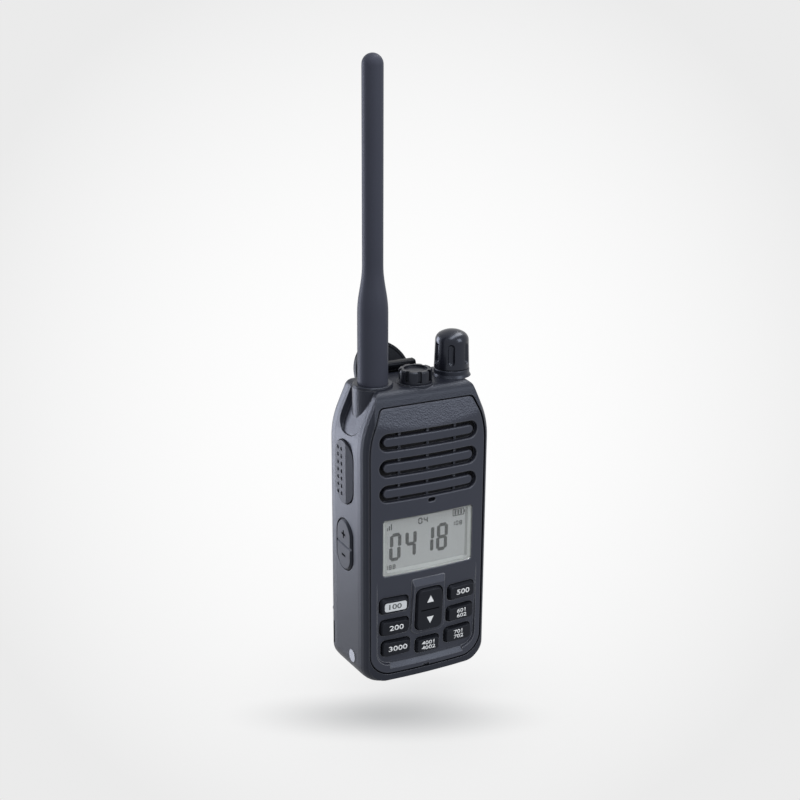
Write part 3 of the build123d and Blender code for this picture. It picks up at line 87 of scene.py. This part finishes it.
white = (1.0, 1.0, 1.0, 1)
surround = bpy.data.worlds.new("pale_surround")
bpy.context.scene.world = surround
surround.use_nodes = True
tree = surround.node_tree
tree.nodes.clear()
link = tree.links.new
direction = add_node(tree, "TexCoord")
off_middle = add_node(tree, "VectorMath", "DOT_PRODUCT")
off_middle.inputs[1].default_value = look
paleness = add_ramp(tree, (0.30, (0.80, 0.80, 0.80, 1)), (0.945, (0.83, 0.83, 0.83, 1)), (1.0, white))
seen = add_node(tree, "Background")
fill = add_node(tree, "Background", Color=(0.93, 0.96, 1.0, 1), Strength=0.45)
ray = add_node(tree, "LightPath")
straight = add_node(tree, "Math", "MAXIMUM")
straight_or_mirrored = add_node(tree, "Math", "MAXIMUM")
choose = add_node(tree, "MixShader")
out = add_node(tree, "OutputWorld")
link(direction.outputs["Generated"], off_middle.inputs[0])
link(off_middle.outputs["Value"], paleness.inputs["Fac"])
link(paleness.outputs["Color"], seen.inputs["Color"])
link(ray.outputs["Is Camera Ray"], straight.inputs[0])
link(ray.outputs["Is Transmission Ray"], straight.inputs[1])
link(straight.outputs[0], straight_or_mirrored.inputs[0])
link(ray.outputs["Is Glossy Ray"], straight_or_mirrored.inputs[1])
link(straight_or_mirrored.outputs[0], choose.inputs[0])
link(fill.outputs[0], choose.inputs[1])
link(seen.outputs[0], choose.inputs[2])
link(choose.outputs[0], out.inputs["Surface"])


def soft_lamp(name, place, aim, width, height, watts, tint=(1.0, 1.0, 1.0), turn=0.0):
    """A rectangular softbox that faces a point of the radio, turned about its own beam."""
    bpy.ops.object.light_add(type="AREA", location=place)
    lamp = bpy.context.object
    lamp.name = name
    lamp.data.shape = "RECTANGLE"
    lamp.data.size = width
    lamp.data.size_y = height
    lamp.data.energy = watts
    lamp.data.color = tint
    lamp.visible_camera = False
    lamp.rotation_mode = "QUATERNION"
    facing = (Vector(aim) - Vector(place)).to_track_quat("-Z", "Y")
    lamp.rotation_quaternion = facing @ Quaternion((0, 0, 1), turn)


soft_lamp("left_softbox", place=(-0.58, 0.76, 0.08), aim=(0, 0, 0.08), width=0.5, height=0.8,
          watts=9.0, tint=(0.84, 0.87, 1.0))
soft_lamp("front_softbox", place=(0.42, -0.74, 0.52), aim=(0, 0, 0.10), width=0.4, height=0.5,
          watts=3.6, tint=(0.96, 0.98, 1.0))
soft_lamp("top_strip", place=(0.14, -0.06, 0.80), aim=(0, 0, 0), width=1.4, height=0.22,
          watts=6.0, turn=-heading)

# ---------------------------------------------------------------- floor
# A seamless white floor that can't be told from the surround, but for a wide, shallow pool of shade and
# the shade of the radio's own shape. It lets light through, so a pack that slides past it stays in sight.
floor_height = -0.022
floor_radius = 0.40
own_shade_reach = 0.10
pool_middle = (-0.014, -0.008, floor_height)
pool_reach = (0.078, 0.024, 1.0)
bpy.ops.object.select_all(action="DESELECT")
bpy.ops.mesh.primitive_circle_add(
    vertices=96, radius=floor_radius, fill_type="NGON", location=(0, 0, floor_height)
)
floor = bpy.context.object
floor.name = "white_floor"
bpy.ops.object.transform_apply(location=True, rotation=True, scale=True)

paint = bpy.data.materials.new("white_floor_paint")
paint.use_nodes = True
tree = paint.node_tree
tree.nodes.clear()
link = tree.links.new
openness = add_node(tree, "AmbientOcclusion", Distance=own_shade_reach)
openness.samples = 24
own_shade = add_ramp(tree, (0.30, (0.74, 0.745, 0.75, 1)), (0.94, white))
place = add_node(tree, "TexCoord")
lay = add_node(tree, "Mapping", Location=pool_middle, Rotation=(0, 0, -heading), Scale=pool_reach)
lay.vector_type = "TEXTURE"
pool = add_node(tree, "TexGradient")
pool.gradient_type = "SPHERICAL"
pool_shade = add_ramp(tree, (0.0, white), (1.0, (0.69, 0.695, 0.70, 1)), interpolation="EASE")
both = add_node(tree, "Mix")
both.data_type = "RGBA"
both.blend_type = "MULTIPLY"
both.inputs[0].default_value = 1.0
film = add_node(tree, "BsdfTransparent")
out = add_node(tree, "OutputMaterial")
link(openness.outputs["AO"], own_shade.inputs["Fac"])
link(place.outputs["Object"], lay.inputs["Vector"])
link(lay.outputs["Vector"], pool.inputs["Vector"])
link(pool.outputs["Fac"], pool_shade.inputs["Fac"])
link(own_shade.outputs["Color"], both.inputs[6])
link(pool_shade.outputs["Color"], both.inputs[7])
link(both.outputs[2], film.inputs["Color"])
link(film.outputs[0], out.inputs["Surface"])
floor.data.materials.append(paint)


# ---------------------------------------------------------------- case halves
# Injection-moulded charcoal polycarbonate from a spark-eroded tool: a fine even grain, with a coarser
# stipple in the hollow beside the antenna and on the brow.
def start_finish(name):
    """A new material, with its node tree and its shader."""
    finish = bpy.data.materials.new(name)
    finish.use_nodes = True
    return finish, finish.node_tree, finish.node_tree.nodes["Principled BSDF"]


def shade(colour, factor):
    """A colour made darker or paler, up to white."""
    return tuple(min(1.0, part * factor) for part in colour)


def blend(tree, share, low, high):
    """A colour that goes from low, a colour or a node's output, to the colour high as the share rises."""
    mix = add_node(tree, "Mix")
    mix.data_type = "RGBA"
    tree.links.new(share, mix.inputs[0])
    if isinstance(low, tuple):
        mix.inputs[6].default_value = (*low, 1)
    else:
        tree.links.new(low, mix.inputs[6])
    mix.inputs[7].default_value = (*high, 1)
    return mix.outputs[2]


def stippled(tree, place, grain, start, size):
    """The grain's relief, with cells of a coarser stipple added above the height start."""
    fade = 0.0015
    millimetre = 0.001
    times_deeper = 7 * size / millimetre
    cells = add_node(tree, "TexVoronoi", Scale=1 / size)
    split = add_node(tree, "SeparateXYZ")
    zone = add_node(tree, "MapRange", From_Min=start, From_Max=start + fade, To_Max=times_deeper)
    relief = add_node(tree, "Math", "MULTIPLY_ADD")
    tree.links.new(place, cells.inputs["Vector"])
    tree.links.new(place, split.inputs[0])
    tree.links.new(split.outputs["Z"], zone.inputs["Value"])
    tree.links.new(cells.outputs["Distance"], relief.inputs[0])
    tree.links.new(zone.outputs["Result"], relief.inputs[1])
    tree.links.new(grain, relief.inputs[2])
    return relief.outputs[0]


def moulded(name, colour, roughness, gloss=0.38, grain=0.00016, depth=0.00002, edge=0.00025, edge_wear_and_highlight=0.04,
            coarse_above=None, stipple=0.0007):
    """Moulded plastic or rubber: grain in the surface, faint mottling, and edges painted paler, as wear and
    as a painted highlight.

    gloss is the strength of its sheen, grain the pitch of the grain and depth its depth, edge the width of
    the paler edges and the argument after it how pale they are, partly wear and partly a painted highlight.
    Above the height coarse_above, if any, a coarser stipple of the pitch stipple is added.
    """
    finish, tree, shader = start_finish(name)
    link = tree.links.new
    shader.inputs["Specular IOR Level"].default_value = gloss
    shader.inputs["Specular Tint"].default_value = (0.78, 0.845, 1.0, 1)
    place = add_node(tree, "TexCoord").outputs["Object"]
    # mottling, a centimetre or two across, in colour and in roughness
    cloud = add_node(tree, "TexNoise", Scale=60, Detail=5)
    polish = add_node(tree, "MapRange", To_Min=roughness - 0.04, To_Max=roughness + 0.04)
    link(place, cloud.inputs["Vector"])
    link(cloud.outputs[0], polish.inputs["Value"])
    link(polish.outputs["Result"], shader.inputs["Roughness"])
    mottled = blend(tree, cloud.outputs[0], shade(colour, 0.93), shade(colour, 1.07))
    # the rounded edge, painted paler: partly wear, partly a painted highlight, where the rounded normal
    # leaves the flat one
    rounded = add_node(tree, "Bevel", Radius=edge)
    rounded.samples = 4
    flat = add_node(tree, "NewGeometry")
    bend = add_node(tree, "VectorMath", "DOT_PRODUCT")
    edge_wear_and_highlight_mask = add_node(tree, "MapRange", From_Min=1.0, From_Max=0.80, To_Min=0.0, To_Max=0.75)
    link(rounded.outputs["Normal"], bend.inputs[0])
    link(flat.outputs["Normal"], bend.inputs[1])
    link(bend.outputs["Value"], edge_wear_and_highlight_mask.inputs["Value"])
    worn_and_highlit_colour = tuple(min(1.0, part * 2.0 + edge_wear_and_highlight) for part in colour)
    link(blend(tree, edge_wear_and_highlight_mask.outputs["Result"], mottled, worn_and_highlit_colour), shader.inputs["Base Color"])
    # the grain of the tool
    pits = add_node(tree, "TexNoise", Scale=1 / grain, Detail=2, Roughness=0.6)
    bump = add_node(tree, "Bump", Strength=1.0, Distance=depth)
    link(place, pits.inputs["Vector"])
    relief = pits.outputs[0]
    if coarse_above is not None:
        relief = stippled(tree, place, relief, coarse_above, stipple)
    link(relief, bump.inputs["Height"])
    link(rounded.outputs["Normal"], bump.inputs["Normal"])
    link(bump.outputs["Normal"], shader.inputs["Normal"])
    return finish


def dress(finish, *names):
    """Give the CAD nodes of those names one finish."""
    for name in names:
        nodes[name].material_slots[0].material = finish


charcoal = (0.0122, 0.0137, 0.0205)
case_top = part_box("front_case")[1].z
case = moulded("case_polycarbonate", charcoal, roughness=0.38, gloss=0.32, edge=0.0004, edge_wear_and_highlight=0.10,
               coarse_above=case_top - 0.0204, stipple=0.0005)
dress(case, "front_case")
dress(moulded("rear_case_polycarbonate", charcoal, roughness=0.38), "rear_case")
dress(moulded("seal_silicone", (0.012, 0.012, 0.014), roughness=0.6, grain=0.0004), "case_gasket")

# ---------------------------------------------------------------- front panel and grille
# The panel is a curved inlay a shade smoother than the case, clipped and glued into its pocket.
# The bars of the grille stand in its slots on a plate behind, over a black dust mesh.
panel_colour = (0.0300, 0.0322, 0.0440)
panel_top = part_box("front_panel")[1].z
panel = moulded("panel_polycarbonate", panel_colour, roughness=0.33, grain=0.00013, edge=0.0005, edge_wear_and_highlight=0.28,
                coarse_above=panel_top - 0.0099)
dress(panel, "front_panel")
grille = moulded("grille_polycarbonate", panel_colour, roughness=0.30, grain=0.00013, edge=0.0005, edge_wear_and_highlight=0.22)
dress(grille, "speaker_grille")


def woven(name, colour, pitch):
    """A fine plain-weave cloth seen through the slots."""
    finish, tree, shader = start_finish(name)
    link = tree.links.new
    shader.inputs["Roughness"].default_value = 0.85
    place = add_node(tree, "TexCoord").outputs["Object"]
    crossing = add_node(tree, "Math", "MULTIPLY")
    # the distance between two bands of a wave at a scale of 1
    band_distance = 0.314
    for thread, axis in enumerate(("X", "Z")):
        wave = add_node(tree, "TexWave", Scale=band_distance / pitch)
        wave.bands_direction = axis
        link(place, wave.inputs["Vector"])
        link(wave.outputs["Fac"], crossing.inputs[thread])
    bump = add_node(tree, "Bump", Distance=pitch / 8)
    link(blend(tree, crossing.outputs[0], colour, shade(colour, 0.3)), shader.inputs["Base Color"])
    link(crossing.outputs[0], bump.inputs["Height"])
    link(bump.outputs["Normal"], shader.inputs["Normal"])
    return finish


dress(woven("dust_mesh_cloth", (0.010, 0.010, 0.012), pitch=0.0004), "speaker_mesh")


# ---------------------------------------------------------------- display
# A reflective grey LCD cell behind a clear acrylic window, in a pale sloped frame. Its signs are plain
# seven-segment digits, small numbers, a level sign and a charge sign, all in one film of dark ink.
def middle(node):
    """The middle of a node, seen from the front."""
    low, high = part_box(node)
    return (low.x + high.x) / 2, (low.z + high.z) / 2


def toned(name, colour, roughness, metallic=0.0, scale=400, spread=0.06, relief=0.000004):
    """A plain finish with a slight variation in tone and a fine relief."""
    finish, tree, shader = start_finish(name)
    link = tree.links.new
    shader.inputs["Metallic"].default_value = metallic
    shader.inputs["Roughness"].default_value = roughness
    place = add_node(tree, "TexCoord")
    cloud = add_node(tree, "TexNoise", Scale=scale, Detail=4)
    bump = add_node(tree, "Bump", Distance=relief)
    tone = blend(tree, cloud.outputs[0], shade(colour, 1 - spread), shade(colour, 1 + spread))
    link(place.outputs["Object"], cloud.inputs["Vector"])
    link(tone, shader.inputs["Base Color"])
    link(cloud.outputs[0], bump.inputs["Height"])
    link(bump.outputs["Normal"], shader.inputs["Normal"])
    return finish


dress(toned("lcd_cell", (0.252, 0.263, 0.265), roughness=0.30, scale=90, spread=0.03), "lcd_module")
dress(toned("pale_frame_plastic", (0.27, 0.285, 0.28), roughness=0.35, scale=200, spread=0.02), "lcd_bezel")

window, tree, acrylic = start_finish("window_acrylic_clear")
link = tree.links.new
acrylic.inputs["Base Color"].default_value = (0.97, 0.98, 0.98, 1)
acrylic.inputs["Roughness"].default_value = 0.03
acrylic.inputs["IOR"].default_value = 1.49
acrylic.inputs["Transmission Weight"].default_value = 1.0
lit_through = add_node(tree, "BsdfTransparent")
ray = add_node(tree, "LightPath")
choose = add_node(tree, "MixShader")
link(ray.outputs["Is Shadow Ray"], choose.inputs[0])
link(acrylic.outputs[0], choose.inputs[1])
link(lit_through.outputs[0], choose.inputs[2])
link(choose.outputs[0], tree.nodes["Material Output"].inputs["Surface"])
dress(window, "lcd_window")


def take(piece, *others):
    """Select a piece and any others, make the piece active, and apply their places."""
    bpy.ops.object.select_all(action="DESELECT")
    for part in (piece, *others):
        part.select_set(True)
    bpy.context.view_layer.objects.active = piece
    bpy.ops.object.transform_apply(location=True, rotation=True, scale=True)


def join(name, parts):
    """One object from several, each with its place applied."""
    take(*parts)
    if len(parts) > 1:
        bpy.ops.object.join()
    parts[0].name = name
    parts[0].data.name = name
    return parts[0]


ink_thickness = 0.00004


def settle(piece, ink, body):
    """Give a flat print its thickness towards the viewer and its ink, and let it ride."""
    take(piece)
    wall = piece.modifiers.new("thickness", "SOLIDIFY")
    wall.thickness = ink_thickness
    wall.offset = 1
    bpy.ops.object.modifier_apply(modifier=wall.name)
    piece.data.materials.clear()
    piece.data.materials.append(ink)
    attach(piece, body)


def bar(x, y, z, length, width, upright=False, pointed=False):
    """A flat bar that faces front, with square ends or the pointed ends of a display segment."""
    reach = width / math.sqrt(3 if pointed else 2)
    stretch = length / 2 - (reach if pointed else width / 2)
    bpy.ops.object.select_all(action="DESELECT")
    bpy.ops.mesh.primitive_circle_add(vertices=6 if pointed else 4, radius=reach, fill_type="NGON")
    piece = bpy.context.object
    bpy.ops.object.mode_set(mode="EDIT")
    turn = math.radians(90 if pointed else 45)
    bpy.ops.transform.rotate(value=turn, orient_axis="Z", center_override=(0, 0, 0))
    for side in (-1, 1):
        bpy.ops.mesh.select_all(action="DESELECT")
        bpy.ops.object.mode_set(mode="OBJECT")
        for corner in piece.data.vertices:
            corner.select = corner.co.x * side > 0
        bpy.ops.object.mode_set(mode="EDIT")
        bpy.ops.transform.translate(value=(side * stretch, 0, 0))
    bpy.ops.object.mode_set(mode="OBJECT")
    piece.rotation_euler = (math.radians(90), math.radians(90) if upright else 0, 0)
    piece.location = (x, y, z)
    return piece


# the lit segments of a digit: top, middle, foot, upper left, upper right, lower left, lower right
digit_segments = {
    "0": (1, 0, 1, 1, 1, 1, 1),
    "1": (0, 0, 0, 0, 1, 0, 1),
    "4": (0, 1, 0, 1, 1, 0, 1),
    "8": (1, 1, 1, 1, 1, 1, 1),
}
glass_x, glass_z = middle("lcd_module")
glass_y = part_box("lcd_module")[0].y


def digit(sign, x, z, width, height, stroke, slant=0.0):
    """The bars of one seven-segment digit, whose middle lies x and z from the middle of the glass."""
    gap = stroke * 0.10
    across = width - stroke - gap
    down = (height - stroke) / 2 - gap
    half_width = (width - stroke) / 2
    half_height = (height - stroke) / 2
    places = (
        (0, half_height, False),
        (0, 0, False),
        (0, -half_height, False),
        (-half_width, half_height / 2, True),
        (half_width, half_height / 2, True),
        (-half_width, -half_height / 2, True),
        (half_width, -half_height / 2, True),
    )
    bars = []
    for lit, (dx, dz, upright) in zip(digit_segments[sign], places):
        if lit:
            lean = dz * math.tan(slant)
            segment_x = glass_x + x + dx + lean
            segment_z = glass_z + z + dz
            length = down if upright else across
            bars.append(bar(segment_x, glass_y, segment_z, length, stroke, upright, pointed=True))
    return bars


# two big pairs, a small pair over them, and tiny rows at the right and at the foot
big = {"width": 0.0053, "height": 0.0126, "stroke": 0.00155, "slant": math.radians(3.5)}
small = {"width": 0.0021, "height": 0.0029, "stroke": 0.00058}
tiny = {"width": 0.0014, "height": 0.0022, "stroke": 0.00044}
small_pitch = 0.0026
tiny_pitch = 0.0018
bars = []
bars += digit("0", -0.01475, -0.00065, **big)
bars += digit("4", -0.00750, -0.00055, **big)
bars += digit("1", 0.00090, -0.00035, **big)
bars += digit("8", 0.00750, -0.00015, **big)
for step, sign in enumerate("04"):
    bars += digit(sign, -0.0030 + small_pitch * step, 0.00905, **small)
for step, sign in enumerate("108"):
    bars += digit(sign, 0.0129 + tiny_pitch * step, 0.00475, **tiny)
for step, sign in enumerate("888"):
    bars += digit(sign, -0.0189 + tiny_pitch * step, -0.00955, **tiny)

# the charge sign: a frame round three bars, with a nub at its right
charge_x = glass_x + 0.0153
charge_z = glass_z + 0.0097
frame_line = 0.00042
for side in (-1, 1):
    bars.append(bar(charge_x, glass_y, charge_z + side * 0.0014, 0.0054, frame_line))
    bars.append(bar(charge_x + side * 0.0026, glass_y, charge_z, 0.0028, frame_line, upright=True))
for step in range(3):
    bars.append(bar(charge_x - 0.00145 + 0.0014 * step, glass_y, charge_z, 0.0021, 0.0009, upright=True))
bars.append(bar(charge_x + 0.0030, glass_y, charge_z, 0.0012, 0.0004, upright=True))

# the level sign: three bars on one line, each taller than the last
level_x = glass_x - 0.0184
level_foot = glass_z + 0.00735
for step in range(3):
    tall = 0.0012 + 0.0008 * step
    bars.append(bar(level_x + 0.0009 * step, glass_y, level_foot + tall / 2, tall, 0.00055, upright=True))

segment_ink = toned("lcd_segment", (0.020, 0.024, 0.026), roughness=0.5, spread=0.1)
settle(join("lcd_signs", bars), segment_ink, "radio")

# ---------------------------------------------------------------- keys
# Moulded silicone, matt charcoal with one pale cap, each with a screen-printed number or arrow.
key_names = [name for name in nodes if name.startswith("key_")]
key_silicone = moulded("key_silicone", (0.0070, 0.0077, 0.0108), roughness=0.48, gloss=0.22,
                       grain=0.00012, edge=0.0003)
dress(key_silicone, "nav_key", *key_names)
dress(toned("pale_cap_silicone", (0.66, 0.68, 0.70), roughness=0.45, spread=0.02), "pale_key_cap")
dress(moulded("keypad_sheet_silicone", (0.006, 0.0065, 0.009), roughness=0.6, gloss=0.2), "keypad_mat")

white_ink = toned("white_screen_ink", (0.82, 0.83, 0.84), roughness=0.5, spread=0.02)
grey_ink = toned("grey_screen_ink", (0.10, 0.11, 0.11), roughness=0.5, spread=0.05)
# dark ink for the rocker's print, also used for a line on the up and down key painted as the shade of its
# groove
dark_ink_and_groove_shade = moulded("dark_ink_and_painted_groove_shade", (0.0020, 0.0020, 0.0025), roughness=0.75, gloss=0.02, edge_wear_and_highlight=0.0)
print_start = 0.001
key_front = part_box("nav_key")[0].y - print_start


def press_on(piece, node, axis="Y"):
    """Press a flat print onto the face of a node, along an axis."""
    take(piece)
    press = piece.modifiers.new("press", "SHRINKWRAP")
    press.target = nodes[node]
    press.wrap_method = "PROJECT"
    press.use_project_x = axis == "X"
    press.use_project_y = axis == "Y"
    press.use_negative_direction = True
    press.use_positive_direction = True
    bpy.ops.object.modifier_apply(modifier=press.name)


boldness = 0.016
wideness = 1.35


def number(text, x, z, size):
    """A bold, wide number that faces front, centred on x and z, in front of the keys."""
    bpy.ops.object.select_all(action="DESELECT")
    bpy.ops.object.text_add()
    label = bpy.context.object
    label.data.body = text
    label.data.size = size
    label.data.offset = size * boldness
    label.data.resolution_u = 3
    label.data.align_x = "CENTER"
    label.data.align_y = "CENTER"
    bpy.ops.object.convert(target="MESH")
    label = bpy.context.object
    label.scale = (wideness, 1, 1)
    label.rotation_euler = (math.radians(90), 0, 0)
    label.location = (x, key_front, z)
    return label


# each print's distance from the middle of its key, and its lines
key_prints = {
    "pale_key_cap": (-0.0006, "100"),
    "key_left_middle": (0.0003, "200"),
    "key_left_low": (0.0003, "3000"),
    "key_centre": (0.0, "4001", "4002"),
    "key_right_top": (0.0004, "500"),
    "key_right_middle": (0.0004, "601", "602"),
    "key_right_low": (0.0, "701", "702"),
}
one_line_size = 0.0033
two_line_size = 0.0025
line_pitch = 0.93 * two_line_size
for node, (aside, *lines) in key_prints.items():
    x, z = middle(node)
    size = one_line_size if len(lines) == 1 else two_line_size
    top_line = z + (len(lines) - 1) / 2 * line_pitch
    labels = [number(text, x + aside, top_line - row * line_pitch, size) for row, text in enumerate(lines)]
    label = join(node + "_print", labels)
    press_on(label, node)
    if node == "pale_key_cap":
        settle(label, grey_ink, "key_left_top")
    else:
        settle(label, white_ink, node)

# the arrows on the up and down key, and a dark line between them, painted as the shade of the groove that
# parts the key
nav_x, nav_z = middle("nav_key")
arrow_size = 0.00185
arrow_lift = 0.00450
arrows = []
for side, turn in ((1, 0), (-1, 180)):
    bpy.ops.object.select_all(action="DESELECT")
    bpy.ops.mesh.primitive_circle_add(vertices=3, radius=arrow_size, fill_type="NGON")
    arrow = bpy.context.object
    arrow.rotation_euler = (math.radians(90), math.radians(turn), 0)
    arrow.scale = (1.0, 1.15, 1.0)
    arrow.location = (nav_x, key_front, nav_z + side * arrow_lift)
    arrows.append(arrow)
label = join("nav_key_print", arrows)
press_on(label, "nav_key")
settle(label, white_ink, "nav_key")

# a dark line painted across the key as the shade of the groove between its halves
line = join("nav_key_line", [bar(nav_x, key_front, nav_z, 0.0086, 0.0005)])
press_on(line, "nav_key")
settle(line, dark_ink_and_groove_shade, "nav_key")

# ---------------------------------------------------------------- transmit button and side rocker
# Soft-touch rubber over a hard core, let into the left flank. The rocker has a plus and a minus in dark
# ink on its face.
side_rubber = moulded("side_rubber_soft", (0.0105, 0.0115, 0.0165), roughness=0.45, gloss=0.25,
                      grain=0.0002, edge=0.0004)
dress(side_rubber, "ptt_button", "side_rocker")

rocker_low, rocker_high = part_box("side_rocker")
rocker_y = (rocker_low.y + rocker_high.y) / 2
rocker_z = (rocker_low.z + rocker_high.z) / 2
glyph_lift = 0.0048
glyph_span = 0.0036
glyph_stroke = 0.0009
strokes = [
    bar(0, 0, rocker_z + glyph_lift, glyph_span, glyph_stroke),
    bar(0, 0, rocker_z + glyph_lift, glyph_span, glyph_stroke, upright=True),
    bar(0, 0, rocker_z - glyph_lift, glyph_span, glyph_stroke),
]
glyphs = join("side_rocker_print", strokes)
glyphs.rotation_euler = (0, 0, math.radians(-90))
glyphs.location = (rocker_low.x - print_start, rocker_y, 0)
press_on(glyphs, "side_rocker", "X")
settle(glyphs, dark_ink_and_groove_shade, "side_rocker")

# ---------------------------------------------------------------- antenna
# A spring under a smooth moulded rubber sleeve, on a brass connector inside a plastic collar.
sleeve = moulded("antenna_sleeve_rubber", (0.0470, 0.0500, 0.0670), roughness=0.45, gloss=0.08, grain=0.0003)
dress(sleeve, "antenna_whip")
dress(moulded("collar_polycarbonate", charcoal, roughness=0.35), "antenna_collar", "knob_collar")
dress(toned("turned_brass", (0.70, 0.52, 0.25), roughness=0.32, metallic=1.0), "antenna_connector")

# ---------------------------------------------------------------- volume knob and encoder
# A glossy black knob with finger flutes, pushed onto a steel shaft.
knob = moulded("knob_gloss_plastic", (0.0085, 0.0092, 0.0140), roughness=0.24, gloss=0.45,
               grain=0.0003, depth=0.000004)
dress(knob, "volume_knob")
bright_steel = toned("bright_steel", (0.62, 0.63, 0.65), roughness=0.28, metallic=1.0)
dress(bright_steel, "volume_shaft", "clip_pin", "clip_spring")
dress(toned("encoder_body", (0.12, 0.12, 0.13), roughness=0.4, metallic=0.6), "volume_encoder")

# ---------------------------------------------------------------- accessory jack
# A castellated black cap screwed over the jack sleeve.
dress(moulded("jack_cap_plastic", (0.0075, 0.0082, 0.0120), roughness=0.34), "jack_cap")
dress(moulded("jack_sleeve_plastic", (0.02, 0.02, 0.02), roughness=0.4), "accessory_jack")

# ---------------------------------------------------------------- contacts
# Nickel-plated studs and terminals, gold-plated pads on the pack.
nickel = toned("nickel_plate", (0.31, 0.32, 0.345), roughness=0.55, metallic=0.85, spread=0.05)
dress(nickel, "charge_studs", "battery_terminals")
dress(toned("gold_plate", (0.85, 0.62, 0.28), roughness=0.28, metallic=1.0), "pack_contacts")

# ---------------------------------------------------------------- battery pack
# A charcoal shell with ribs and a thumb latch, round two foil cells.
pack_shell = moulded("pack_polycarbonate", charcoal, roughness=0.42)
dress(pack_shell, "battery_pack", "battery_cover", "battery_latch")
dress(toned("cell_aluminium_foil", (0.62, 0.64, 0.66), roughness=0.38, metallic=0.8), "battery_cells")

# ---------------------------------------------------------------- belt clip
# A stiff nylon lever on a steel pin, in a bracket screwed to the rear case.
clip_nylon = moulded("clip_nylon", (0.0030, 0.0033, 0.0045), roughness=0.34, gloss=0.10)
dress(clip_nylon, "belt_clip", "clip_bracket")
black_steel = toned("blackened_steel", (0.05, 0.05, 0.055), roughness=0.35, metallic=0.9)
dress(black_steel, "case_screws", "clip_screws")

# ---------------------------------------------------------------- inside parts
# Green boards, a cast frame, a tinned shield, a speaker with a paper cone, and small switches.
board = toned("board_solder_mask", (0.02, 0.11, 0.05), roughness=0.35, spread=0.15)
dress(board, "main_board", "rf_board", "side_board")
cast = toned("cast_aluminium", (0.55, 0.56, 0.57), roughness=0.5, metallic=0.9, relief=0.00003)
dress(cast, "chassis")
dress(toned("tinned_sheet", (0.70, 0.71, 0.72), roughness=0.35, metallic=1.0), "rf_shield")
dress(toned("speaker_steel_black", (0.05, 0.05, 0.05), roughness=0.45, metallic=0.7), "speaker")
dress(toned("microphone_can", (0.60, 0.60, 0.58), roughness=0.35, metallic=0.9), "microphone")
switch_body = moulded("switch_body_plastic", (0.03, 0.03, 0.03), roughness=0.5)
dress(switch_body, "ptt_switch", "rocker_switch_upper", "rocker_switch_lower")
